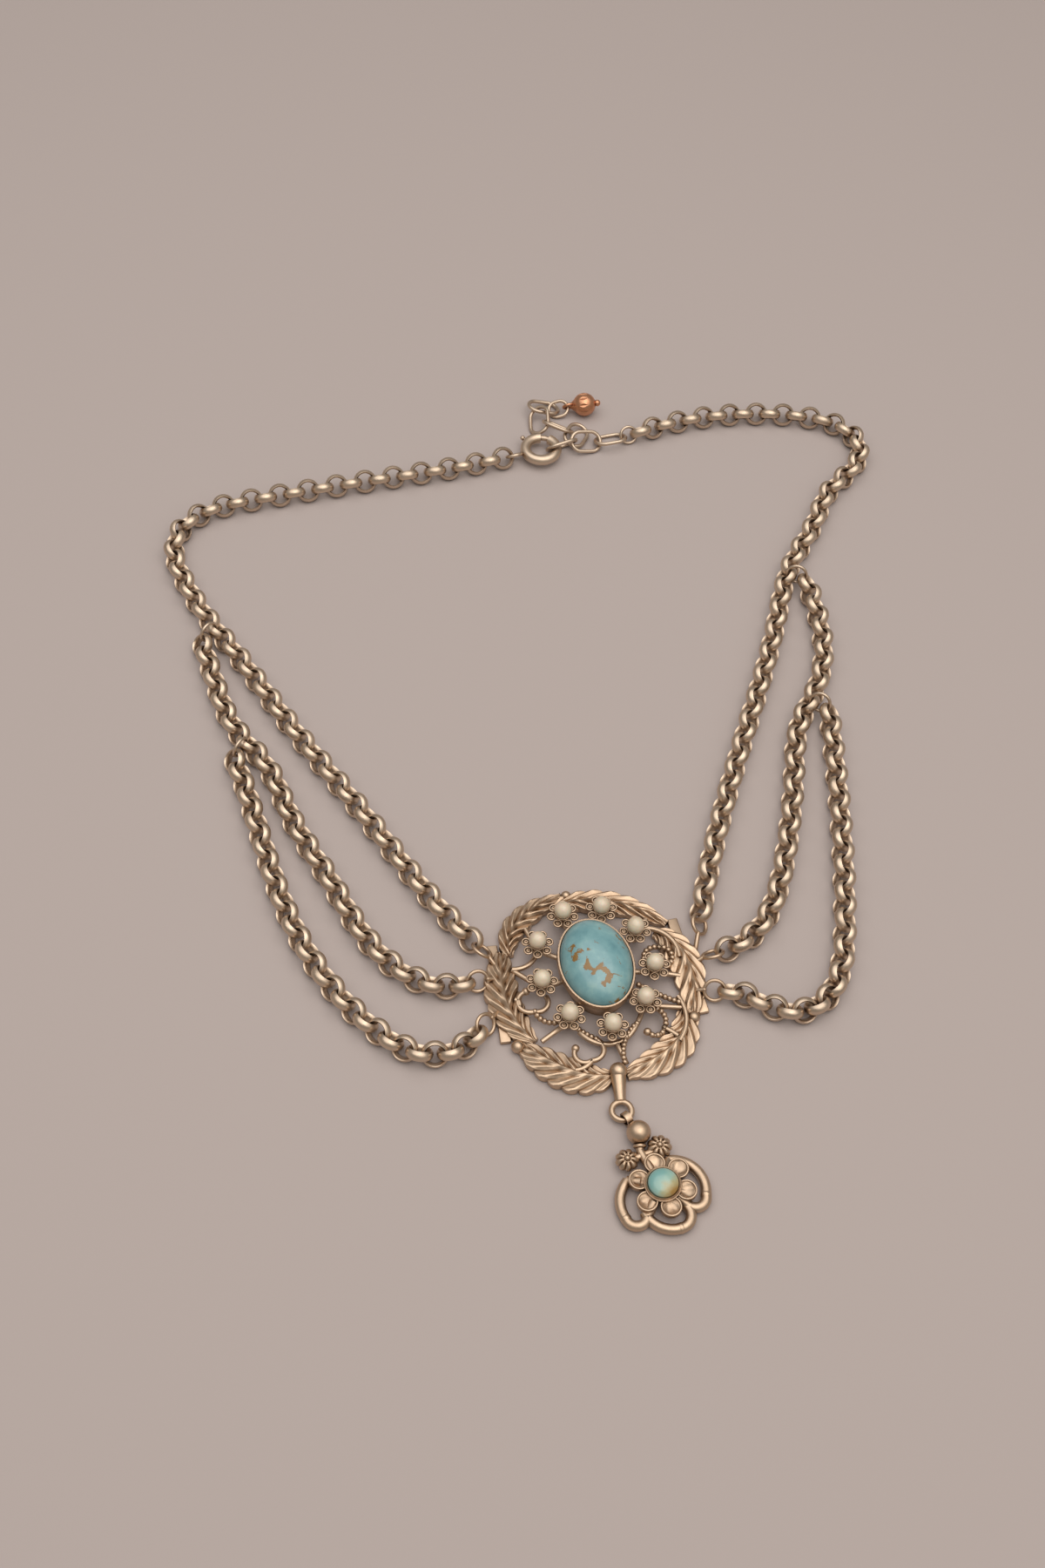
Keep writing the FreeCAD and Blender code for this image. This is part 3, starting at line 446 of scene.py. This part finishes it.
dropStone = {"radiusMm": 2.65, "heightMm": 1.4, "footMm": 0.5}
stoneLow, stoneHigh = (Vector(corner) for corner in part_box("drop_stone"))
dropMiddle = Vector(((stoneLow.x + stoneHigh.x) / 2, (stoneLow.y + stoneHigh.y) / 2,
                     stoneLow.z + dropStone["footMm"] * mm))


def buildDropStone():
    s = dropStone
    bm = bmesh.new()
    bmesh.ops.create_uvsphere(bm, u_segments=48, v_segments=28, radius=1.0)
    for vert in bm.verts:
        if vert.co.z < -0.01:
            vert.co.z = -s["footMm"] / s["heightMm"] * min(1, -vert.co.z * 4)
    bmesh.ops.scale(bm, vec=at(s["radiusMm"], s["radiusMm"], s["heightMm"]), verts=bm.verts)
    makePiece(bm, "drop_stone_polished", dropStoneMaterial(dropMiddle), "necklace",
              ["drop_stone"], Matrix.Translation(dropMiddle))


buildDropStone()
print("stones ready")


# Brooch casting, in its own frame

brooch = {
    "leaves": [
        # four control points of the midrib, left width, right width, lobes
        ([(-14.3, 6.8), (-14.6, 12.0), (-9.5, 15.6), (-1.8, 17.3)], 2.5, 2.3, 6),
        ([(-4.0, 15.4), (2.0, 16.2), (9.5, 14.0), (15.9, 7.2)], 2.6, 2.2, 7),
        ([(13.3, 6.2), (18.0, 3.0), (19.0, -5.0), (15.0, -12.6)], 2.8, 3.6, 6),
        ([(14.2, -10.0), (13.6, -17.5), (8.0, -19.8), (0.4, -21.0)], 3.6, 2.8, 7),
        ([(-1.6, -20.8), (-8.0, -21.5), (-12.0, -16.5), (-16.6, -11.6)], 3.8, 2.9, 7),
        ([(-14.0, -11.4), (-18.6, -5.0), (-17.6, 2.0), (-15.4, 7.8)], 3.6, 3.1, 7),
    ],
    "leafBuds": [(-0.9, 17.4, 0.95), (15.4, -12.9, 1.15), (-17.2, -11.7, 1.2)],
    "leafEdge": 1.0, "leafCrest": 1.3, "leafSweep": 0.27,
    "flowers": [
        # pearl's place, then where its stem meets the wreath
        (-9.2, 6.5, -10.2, 11.6), (-3.1, 11.7, -4.2, 15.4), (4.2, 11.2, 5.0, 14.6),
        (9.2, 5.6, 12.4, 8.8), (10.6, -2.6, 15.2, -4.2), (7.1, -9.0, 13.6, -10.6),
        (-0.1, -12.9, 0.9, -19.4), (-7.1, -9.2, -12.8, -11.8), (-10.3, -1.4, -14.6, 3.6),
    ],
    "scrolls": [
        # start, middle and end of an arc, then whether it is a row of beads
        ((-13.2, -1.4), (-15.3, -3.8), (-12.6, -5.8), False),
        ((-12.6, -5.8), (-11.0, -5.9), (-9.9, -3.2), False),
        ((-15.6, -2.6), (-14.9, -3.4), (-15.2, -4.2), False),
        ((-12.6, -5.8), (-11.6, -7.9), (-8.8, -8.8), True),
        ((-7.3, -14.6), (-7.6, -16.8), (-5.0, -17.6), False),
        ((-5.0, -17.6), (-2.4, -16.2), (-3.2, -13.6), False),
        ((-3.2, -13.6), (-4.8, -12.2), (-6.8, -9.6), True),
        ((-8.4, -18.8), (-6.6, -18.6), (-5.0, -17.6), False),
        ((6.2, -14.2), (7.6, -15.3), (9.4, -14.1), True),
        ((9.4, -14.1), (10.1, -12.0), (7.6, -9.4), True),
        ((9.4, -14.1), (10.4, -15.0), (11.4, -16.2), False),
        ((-5.8, -11.6), (-0.8, -15.2), (4.8, -12.2), False),
        ((4.8, -12.2), (1.8, -15.0), (0.6, -19.2), True),
        ((4.8, -12.2), (5.6, -11.2), (6.4, -9.8), False),
        ((10.6, -1.8), (10.8, 2.2), (13.0, 2.2), True),
        ((13.0, 2.2), (14.9, 0.4), (13.6, -1.8), True),
        ((7.2, -4.6), (9.6, -6.8), (13.4, -9.6), True),
        ((10.2, 7.0), (14.9, 4.9), (16.2, -0.6), False),
        ((13.6, -8.4), (14.0, -12.6), (11.4, -17.2), False),
        ((-9.2, 6.5), (-11.6, 3.8), (-14.6, 3.6), False),
    ],
    "scrollBuds": [(-13.2, -1.4), (-7.3, -14.6), (6.2, -14.2), (13.6, -1.8)],
    "scrollRadius": 0.5, "scrollHeight": 1.8,
    "bars": [((-17.0, 9.9), (-19.0, -10.2)), ((17.3, 8.2), (17.6, -12.2))],
    "barWidth": 2.0, "barThick": 1.0,
    # start and run of the neck, its two radii, then the drop's eye
    "neckStart": (-1.0, -20.4, 1.6), "neckRun": (-1.02, -5.69, -0.46), "neckRadii": (1.5, 0.95),
    "dropEye": (-2.3, -27.9, 1.2), "dropEyeSize": (1.75, 0.55),
    "eyes": [
        # centre, direction of the hole, direction towards the brooch
        ((-20.80, 3.13, 2.15), (0.496, 0.504, 0.707), (0.713, -0.701)),
        ((-21.19, -3.42, 2.15), (-0.212, 0.675, -0.707), (0.954, 0.300)),
        ((-19.34, -12.27, 2.15), (-0.584, 0.399, -0.707), (0.564, 0.826)),
        ((19.48, 10.88, 2.15), (0.700, -0.101, 0.707), (-0.143, -0.990)),
        ((21.90, 4.61, 2.15), (0.286, -0.647, -0.707), (-0.915, -0.404)),
        ((22.06, -3.04, 2.15), (-0.039, -0.706, 0.707), (-0.998, 0.056)),
    ],
    "eyeSize": (1.9, 0.35), "stemMm": 3.2,
    "lobeDepth": 0.52, "grooveDepth": 0.05, "midribLift": 0.1, "midribCut": 0.22, "rimLift": 0.16,
    "neckBall": (-1.0, -20.6, 1.8, 1.6),
    # gallery wall under the stone, then the thin rim burnished over it: half sizes and section
    "gallery": (5.9, 8.4, [(-0.8, 0), (0, 0), (0, 3.2), (-0.8, 3.2)]),
    "bezel": (6.5, 9.0, [(-0.9, 3.2), (0.4, 3.2), (0.5, 3.5), (0.48, 4.7), (0.36, 4.98), (0.1, 5.0),
                         (0.08, 4.6), (0.08, 3.87), (-0.9, 3.87)]),
}


def bezierPoint(control, t):
    a, b, c, d = (Vector((*point, 0)) for point in control)
    s = 1 - t
    place = a * s ** 3 + b * (3 * s * s * t) + c * (3 * s * t * t) + d * t ** 3
    ahead = ((b - a) * (3 * s * s) + (c - b) * (6 * s * t) + (d - c) * (3 * t * t)).normalized()
    return place, Vector((-ahead.y, ahead.x, 0))


def addLeaf(bm, control, leftWidth, rightWidth, lobes):
    # grid along the midrib: full lobes swept towards the tip, split by narrow valleys
    s = brooch
    edge, crest, sweep = s["leafEdge"], s["leafCrest"], s["leafSweep"]
    sheet = bmesh.ops.create_grid(bm, x_segments=lobes * 16, y_segments=20, size=1)["verts"]
    sheetFaces = list({face for vert in sheet for face in vert.link_faces})
    for vert in sheet:
        t, reach = (vert.co.x + 1) / 2, vert.co.y
        far = abs(reach)
        t = t * (1 + sweep) - sweep
        along = min(max(t + sweep * far ** 0.8, 0.0), 1.0)
        place, left = bezierPoint(control, along)
        plump = math.sin(math.pi * min(max(along, 0.03), 0.97)) ** 0.45
        phase = t * lobes + (0.5 if reach > 0 else 0.0)
        lobe = abs(math.sin(math.pi * phase))
        width = (leftWidth if reach > 0 else rightWidth) * plump
        width *= 1 - 0.2 * (1 - lobe ** 0.5) * far ** 2
        ridge = 1 - s["lobeDepth"] + s["lobeDepth"] * lobe ** 0.8 if far > 0.12 else 1.0
        body = (1 - 0.6 * far ** 1.8) * ridge
        grooves = s["grooveDepth"] * math.cos(4 * math.pi * phase) * math.sin(math.pi * far)
        midrib = s["midribLift"] * math.exp(-(far / 0.07) ** 2)
        midrib -= s["midribCut"] * math.exp(-((far - 0.15) / 0.05) ** 2)
        rim = s["rimLift"] * math.exp(-((far - 0.92) / 0.09) ** 2) * lobe
        point = place + left * (reach * width)
        vert.co = at(point.x, point.y, edge + crest * (body + grooves + midrib + rim) * plump)
    border = list(dict.fromkeys(e for face in sheetFaces for e in face.edges if e.is_boundary))
    skirt = bmesh.ops.extrude_edge_only(bm, edges=border)["geom"]
    for item in skirt:
        if isinstance(item, bmesh.types.BMVert):
            item.co.z = 0.3 * mm


def arcPoints(start, middle, end, height, count=9):
    # evenly spaced points on the arc through three places
    (ax, ay), (bx, by), (cx, cy) = start, middle, end
    a, b, c = (x * x + y * y for x, y in (start, middle, end))
    d = 2 * (ax * (by - cy) + bx * (cy - ay) + cx * (ay - by))
    ux = (a * (by - cy) + b * (cy - ay) + c * (ay - by)) / d
    uy = (a * (cx - bx) + b * (ax - cx) + c * (bx - ax)) / d
    radius = math.hypot(ax - ux, ay - uy)
    first, via, last = (math.atan2(y - uy, x - ux) for x, y in (start, middle, end))
    turn = (last - first) % (2 * math.pi)
    if (via - first) % (2 * math.pi) > turn:
        turn -= 2 * math.pi
    angles = [first + turn * k / (count - 1) for k in range(count)]
    points = [at(ux + radius * math.cos(angle), uy + radius * math.sin(angle), height) for angle in angles]
    return points, abs(turn) * radius


def addScroll(bm, start, middle, end, beaded, radius, height):
    points, length = arcPoints(start, middle, end, height)
    addWire(bm, points, radius * (0.8 if beaded else 1.0) * mm)
    if beaded:
        pitch = radius * 1.55
        count = max(3, round(length / pitch))
        for point in arcPoints(start, middle, end, height + 0.12, count)[0]:
            addBall(bm, point, radius * 1.12 * mm, segments=10)


pearlFlower = {
    "petals": 7, "distance": 2.15, "low": 3.6, "high": 4.3,
    "petalRing": (0.71, 0.18), "innerRing": (0.3, 0.11), "cup": (1.34, 0.17),   # ring and wire radius
    "petalRadius": 0.72, "plateRadius": 1.45, "postRadius": 0.9, "postFoot": 0.9,
}


def flowerMesh():
    # seven domed petals, each edged with a ring of wire, under a cup that holds the pearl
    s = pearlFlower
    low, high = s["low"], s["high"]
    bm = bmesh.new()
    petalRing = torusMesh("petalRing", *s["petalRing"], steps=22, sides=8)
    innerRing = torusMesh("innerRing", *s["innerRing"], steps=14, sides=6)
    for k in range(s["petals"]):
        angle = 2 * math.pi * k / s["petals"]
        middle = at(s["distance"] * math.cos(angle), s["distance"] * math.sin(angle), high - 0.15)
        addCopy(bm, petalRing, Matrix.Translation(middle))
        addBall(bm, middle - at(0, 0, 0.3), s["petalRadius"] * mm, (1, 1, 0.35), 12)
        addCopy(bm, innerRing, Matrix.Translation(middle - at(0, 0, 0.02)))
    cup = torusMesh("pearlCup", *s["cup"], steps=28, sides=8)
    for rise in (-0.1, 0.15):
        addCopy(bm, cup, Matrix.Translation(at(0, 0, high + rise)))
    addDisc(bm, at(0, 0, high - 0.35), s["plateRadius"], 0.5, 24)
    addDisc(bm, at(0, 0, (low + s["postFoot"]) / 2), s["postRadius"], low - s["postFoot"], 16)
    mesh = bpy.data.meshes.new("pearlFlower")
    bm.to_mesh(mesh)
    bm.free()
    return mesh


def addOvalWall(bm, halfWidth, halfLength, profile, segments=132):
    # closed wall whose section is given as offsets from the oval and heights; its outside is milled
    rows = []
    for offset, height in profile:
        ring = bmesh.ops.create_circle(bm, segments=segments, radius=1.0)["verts"]
        for number, vert in enumerate(ring):
            milled = offset + (0.05 if offset > 0.2 and number % 2 else 0)
            vert.co.x *= (halfWidth + milled) * mm
            vert.co.y *= (halfLength + milled) * mm
            vert.co.z = height * mm
            vert.co.x += layout["cabochonEast"] * mm
        rows.append(list({e for vert in ring for e in vert.link_edges}))
    for row, following in zip(rows, rows[1:] + rows[:1]):
        bmesh.ops.bridge_loops(bm, edges=row + following)


def addBar(bm, upper, lower):
    upper, lower = at(*upper), at(*lower)
    run = lower - upper
    place = Matrix.Translation((upper + lower) / 2 + at(0, 0, brooch["barThick"] / 2))
    place = place @ Matrix.Rotation(math.atan2(run.y, run.x), 4, "Z")
    size = Matrix.Diagonal((run.length, brooch["barWidth"] * mm, brooch["barThick"] * mm, 1))
    cube = bmesh.ops.create_cube(bm, size=1, matrix=place @ size)["verts"]
    edges = list({e for vert in cube for e in vert.link_edges})
    bmesh.ops.bevel(bm, geom=edges, offset=0.2 * mm, segments=3, profile=0.5, affect="EDGES", material=-1)


def addNeck(bm):
    # tapered neck under the wreath, ending in the eye that carries the drop
    s = brooch
    start, run = at(*s["neckStart"]), at(*s["neckRun"])
    wide, narrow = s["neckRadii"]
    bmesh.ops.create_cone(bm, cap_ends=True, segments=24, radius1=wide * mm, radius2=narrow * mm,
                          depth=run.length, matrix=Matrix.Translation(start + run / 2) @ turnTo(run))
    *ballPlace, ballRadius = s["neckBall"]
    addBall(bm, at(*ballPlace), ballRadius * mm, segments=20)
    addCopy(bm, torusMesh("dropEye", *s["dropEyeSize"]), Matrix.Translation(at(*s["dropEye"])))


def addEyes(bm):
    # the six end eyes, in layout places, each on a short stem soldered to a side bar
    ringMm, wireMm = brooch["eyeSize"]
    ring = torusMesh("endEye", ringMm, wireMm)
    for centre, hole, ahead in brooch["eyes"]:
        centre, ahead = fromLayout @ at(*centre), Vector((*ahead, 0))
        addCopy(bm, ring, Matrix.Translation(centre) @ turnTo(hole))
        near = centre + ahead * (ringMm * mm)
        foot = near + ahead * (brooch["stemMm"] * mm)
        foot.z = 0.5 * mm
        addWire(bm, [near, (near + foot) / 2, foot], 0.45 * mm)
        addBall(bm, near, 0.45 * mm)


def buildBrooch():
    s = brooch
    bm = bmesh.new()
    for control, leftWidth, rightWidth, lobes in s["leaves"]:
        addLeaf(bm, control, leftWidth, rightWidth, lobes)
    for x, y, ball in s["leafBuds"]:
        addBall(bm, at(x, y, ball), ball * mm, segments=20)
    for start, middle, end, beaded in s["scrolls"]:
        addScroll(bm, start, middle, end, beaded, s["scrollRadius"], s["scrollHeight"])
    for x, y in s["scrollBuds"]:
        addBall(bm, at(x, y, s["scrollHeight"]), s["scrollRadius"] * 1.5 * mm, segments=16)
    flower = flowerMesh()
    for number, (x, y, stemX, stemY) in enumerate(s["flowers"]):
        turn = Matrix.Rotation(math.radians(25 * number), 4, "Z")
        addCopy(bm, flower, Matrix.Translation(at(x, y)) @ turn)
        outward = [at(x, y, s["scrollHeight"]), at((x + stemX) / 2, (y + stemY) / 2, s["scrollHeight"]),
                   at(stemX, stemY, s["scrollHeight"] - 0.3)]
        addWire(bm, outward, 0.5 * mm)
        wall = 5.5 / math.hypot(x, y * 5.9 / 8.4)
        addWire(bm, [at(x, y, s["scrollHeight"]), at(x * wall, y * wall, s["scrollHeight"])], 0.5 * mm)
    addOvalWall(bm, *s["gallery"])
    addOvalWall(bm, *s["bezel"])
    for upper, lower in s["bars"]:
        addBar(bm, upper, lower)
    addNeck(bm)
    bm.transform(fromBrooch)
    addEyes(bm)
    bmesh.ops.recalc_face_normals(bm, faces=bm.faces)
    makePiece(bm, "brooch_casting", agedSilver, "necklace", ["brooch_frame"])


buildBrooch()
print("brooch ready")

# Drop, in layout places: a polished ball, two rosettes and a flower on scrolled wire

drop = {
    "flower": (12.4, -41.6), "ball": (8.25, -31.9, 2.18), "ballRadius": 2.15, "petals": 6,
    "scrolls": [
        # start, middle and end of an arc
        ((6.4, -40.6), (5.2, -44.4), (6.2, -47.4)), ((6.2, -47.4), (8.4, -48.6), (9.9, -46.6)),
        ((13.4, -36.4), (18.6, -38.2), (19.9, -42.4)), ((19.9, -42.4), (19.2, -44.4), (17.0, -44.6)),
        ((9.4, -46.2), (12.4, -48.7), (15.6, -48.6)), ((15.6, -48.6), (17.3, -46.8), (16.0, -44.2)),
    ],
    "knots": [(9.9, -46.6), (17.0, -44.6), (6.2, -47.4), (19.9, -42.4), (15.6, -48.6)],
    "arms": [(6.4, -40.6), (13.4, -36.4), (17.0, -44.6), (9.9, -46.6)],
    "wireRadius": 0.95, "wireHeight": 1.05,
    "rosettes": [(11.9, -34.2, 2.2), (6.3, -37.0, 2.1)],
    "bail": (6.26, -29.1, 1.42), "bailSize": (1.18, 0.17, 1.1),
    "collarAxis": (0.1, -1.0, -0.25), "collarSize": (0.85, 0.35),
    "petalDistance": 4.1, "petalRadius": 1.85, "petalHeight": 1.95,
    # stays between the ball, the rosettes and the flower: two ends and a radius
    "stays": [((6.6, -37.0, 1.5), (11.9, -34.6, 1.5), 0.7), ((8.6, -35.2, 1.5), (11.0, -39.6, 1.8), 0.8)],
    # section of the stone's cup, out from its axis and up
    "cup": [(0.01, 1.4), (3.1, 1.4), (3.1, 2.7), (3.05, 3.5), (2.95, 3.62), (2.75, 3.5), (2.72, 2.8),
            (0.01, 2.8)],
    "cupRim": (3.08, 0.2), "cupRimHeight": 2.9,
}


def addPetal(bm, middle, turn, radius):
    # spoon: a dished disc with radial ribs and a rolled rim
    place = Matrix.Translation(middle) @ Matrix.Rotation(turn, 4, "Z")
    disc = bmesh.ops.create_uvsphere(bm, u_segments=28, v_segments=18, radius=radius * mm)["verts"]
    for vert in disc:
        out = math.hypot(vert.co.x, vert.co.y) / (radius * mm)
        if vert.co.z > 0:
            angle = math.atan2(vert.co.y, vert.co.x + radius * mm * 0.9)
            ribs = 0.08 * math.cos(9 * angle) * min(1, out * 2) if out < 0.85 else 0
            vert.co.z = (0.1 + 0.68 * out ** 2 + ribs) * mm
        else:
            vert.co.z *= 0.45
    bmesh.ops.transform(bm, matrix=place, verts=disc)
    addCopy(bm, torusMesh("petalRim", radius - 0.16, 0.2, steps=28, sides=8),
            Matrix.Translation(middle + at(0, 0, 0.78)))


def addRosette(bm, x, y, reach):
    # nine-lobed domed disc with a button in the middle
    disc = bmesh.ops.create_uvsphere(bm, u_segments=72, v_segments=20, radius=1.0)["verts"]
    for vert in disc:
        out = math.hypot(vert.co.x, vert.co.y)
        angle = math.atan2(vert.co.y, vert.co.x)
        lobe = abs(math.cos(4.5 * angle)) ** 0.6
        size = reach * (0.84 + 0.16 * lobe)
        lift = 0.55 * lobe * math.sin(math.pi * min(1, out)) if vert.co.z > 0 else 0
        vert.co = at(x + vert.co.x * size, y + vert.co.y * size, 1.75 + vert.co.z * 0.75 + lift * 0.7)
    addCopy(bm, torusMesh("rosetteRing", 0.72, 0.14, steps=24, sides=8), Matrix.Translation(at(x, y, 2.55)))
    addBall(bm, at(x, y, 2.62), 0.52 * mm, segments=16)


def buildDrop():
    s = drop
    bm = bmesh.new()
    x, y = s["flower"]
    for k in range(s["petals"]):
        turn = math.radians(50 + 360 * k / s["petals"])
        out = s["petalDistance"]
        middle = at(x + out * math.cos(turn), y + out * math.sin(turn), s["petalHeight"])
        addPetal(bm, middle, turn, s["petalRadius"])
    cup = spinMesh("stoneCup", [at(reach, 0, height) for reach, height in s["cup"]], 48)
    addCopy(bm, cup, Matrix.Translation(at(x, y)))
    addCopy(bm, torusMesh("cupRim", *s["cupRim"], steps=48, sides=8),
            Matrix.Translation(at(x, y, s["cupRimHeight"])))
    for start, middle, end in s["scrolls"]:
        addWire(bm, arcPoints(start, middle, end, s["wireHeight"], 15)[0], s["wireRadius"] * mm, sides=5)
    for kx, ky in s["knots"]:
        addBall(bm, at(kx, ky, s["wireHeight"]), s["wireRadius"] * 1.06 * mm, segments=20)
    for ax, ay in s["arms"]:
        start = at(ax, ay, s["wireHeight"])
        toward = (at(x, y, s["wireHeight"]) - start).normalized()
        addWire(bm, [start, start + toward * 2.4 * mm + at(0, 0, 0.8)], s["wireRadius"] * mm, sides=5)
    for rx, ry, reach in s["rosettes"]:
        addRosette(bm, rx, ry, reach)
    ball = at(*s["ball"])
    addBall(bm, ball, s["ballRadius"] * mm, segments=40)
    down = Vector(s["collarAxis"]).normalized()
    addWire(bm, [ball, ball + down * 3.6 * mm], 0.75 * mm, sides=5)
    collarPlace = Matrix.Translation(ball + down * 2.4 * mm) @ turnTo(down)
    addCopy(bm, torusMesh("collar", *s["collarSize"]), collarPlace)
    for start, end, radius in s["stays"]:
        addWire(bm, [at(*start), at(*end)], radius * mm, sides=5)
    bail = at(*s["bail"])
    along = Vector((ball.x - bail.x, ball.y - bail.y, 0)).normalized()
    across = along.cross(up)
    ringMm, thickMm, broadMm = s["bailSize"]
    inner, outer, half = ringMm - thickMm, ringMm + thickMm, broadMm / 2
    corners = [at(inner, 0, -half), at(outer, 0, -half), at(outer, 0, half), at(inner, 0, half)]
    addCopy(bm, spinMesh("bail", corners, 36), Matrix.Translation(bail) @ turnTo(across))
    addWire(bm, [bail + along * 1.2 * mm, ball], 0.5 * mm, sides=5)
    bmesh.ops.recalc_face_normals(bm, faces=bm.faces)
    makePiece(bm, "drop_casting", agedSilver, "necklace", ["drop_frame"], fromLayout)


buildDrop()
for node, material in (("spring_ring_case", chainSilver), ("spring_ring_bolt", chainSilver),
                       ("extension_bead", copperPlate)):
    for slot in bpy.data.objects[node].material_slots:
        slot.material = material
print("drop and clasp ready")


# Floor, lights and camera

stage = {
    "paper": "B5AAA6", "paperDrop": 0.02, "room": "DCD5CE", "roomStrength": 0.4,
    # place, what it points at, size, watts and tint
    "windowLight": ((-0.08, 0.02, 0.6), (-0.06, 0, 0), 1.0, 3.1, "FFFBF8"),
    "ceilingBounce": ((0.4, -0.25, 0.85), (0, -0.05, 0), 1.2, 3.2, "FFF8F0"),
    # the photograph's frame is 1200 x 1800 and its lens spans 2185 of those pixels
    "lens": 36.0 * 2185.26 / 1200, "pitch": 54.629, "roll": 2.6777,
    "cameraMm": (-14.7336, -174.7666, 306.2116),
}


def buildStage():
    bm = bmesh.new()
    bmesh.ops.create_grid(bm, x_segments=1, y_segments=1, size=3.0)
    mesh = bpy.data.meshes.new("paperSweep")
    bm.to_mesh(mesh)
    bm.free()
    floor = bpy.data.objects.new("paperSweep", mesh)
    bpy.context.scene.collection.objects.link(floor)
    floor.location.z = -stage["paperDrop"] * mm
    material, tree = newMaterial("mattPaper")
    shader = addNode(tree, "ShaderNodeBsdfPrincipled", {},
                     {"Base Color": linearColor(stage["paper"]), "Roughness": 0.85})
    finishMaterial(tree, shader)
    floor.data.materials.append(material)


def addSoftLight(name, place, target, size, watts, tint):
    light = bpy.data.lights.new(name, "AREA")
    light.shape, light.size, light.energy = "DISK", size, watts
    light.color = linearColor(tint)[:3]
    lamp = bpy.data.objects.new(name, light)
    lamp.location = place
    lamp.rotation_euler = (Vector(target) - Vector(place)).to_track_quat("-Z", "Y").to_euler()
    bpy.context.scene.collection.objects.link(lamp)


def buildCamera():
    data = bpy.data.cameras.new("camera")
    data.sensor_fit, data.sensor_width = "HORIZONTAL", 36.0
    data.lens = stage["lens"]
    data.clip_start = 0.01
    camera = bpy.data.objects.new("camera", data)
    pitch, roll = math.radians(stage["pitch"]), math.radians(stage["roll"])
    ahead = Vector((0, math.cos(pitch), -math.sin(pitch)))
    right = Vector((1, 0, 0))
    above = right.cross(ahead)
    x = right * math.cos(roll) + above * math.sin(roll)
    y = above * math.cos(roll) - right * math.sin(roll)
    turn = Matrix((x, y, -ahead)).transposed().to_4x4()
    camera.matrix_world = Matrix.Translation(fromLayout @ at(*stage["cameraMm"])) @ turn
    bpy.context.scene.collection.objects.link(camera)
    bpy.context.scene.camera = camera


buildStage()
for name in ("windowLight", "ceilingBounce"):
    addSoftLight(name, *stage[name])
world = bpy.data.worlds.new("room")
world.use_nodes = True
world.node_tree.nodes["Background"].inputs["Color"].default_value = linearColor(stage["room"])
world.node_tree.nodes["Background"].inputs["Strength"].default_value = stage["roomStrength"]
bpy.context.scene.world = world
bpy.context.scene.view_settings.view_transform = "Standard"
buildCamera()
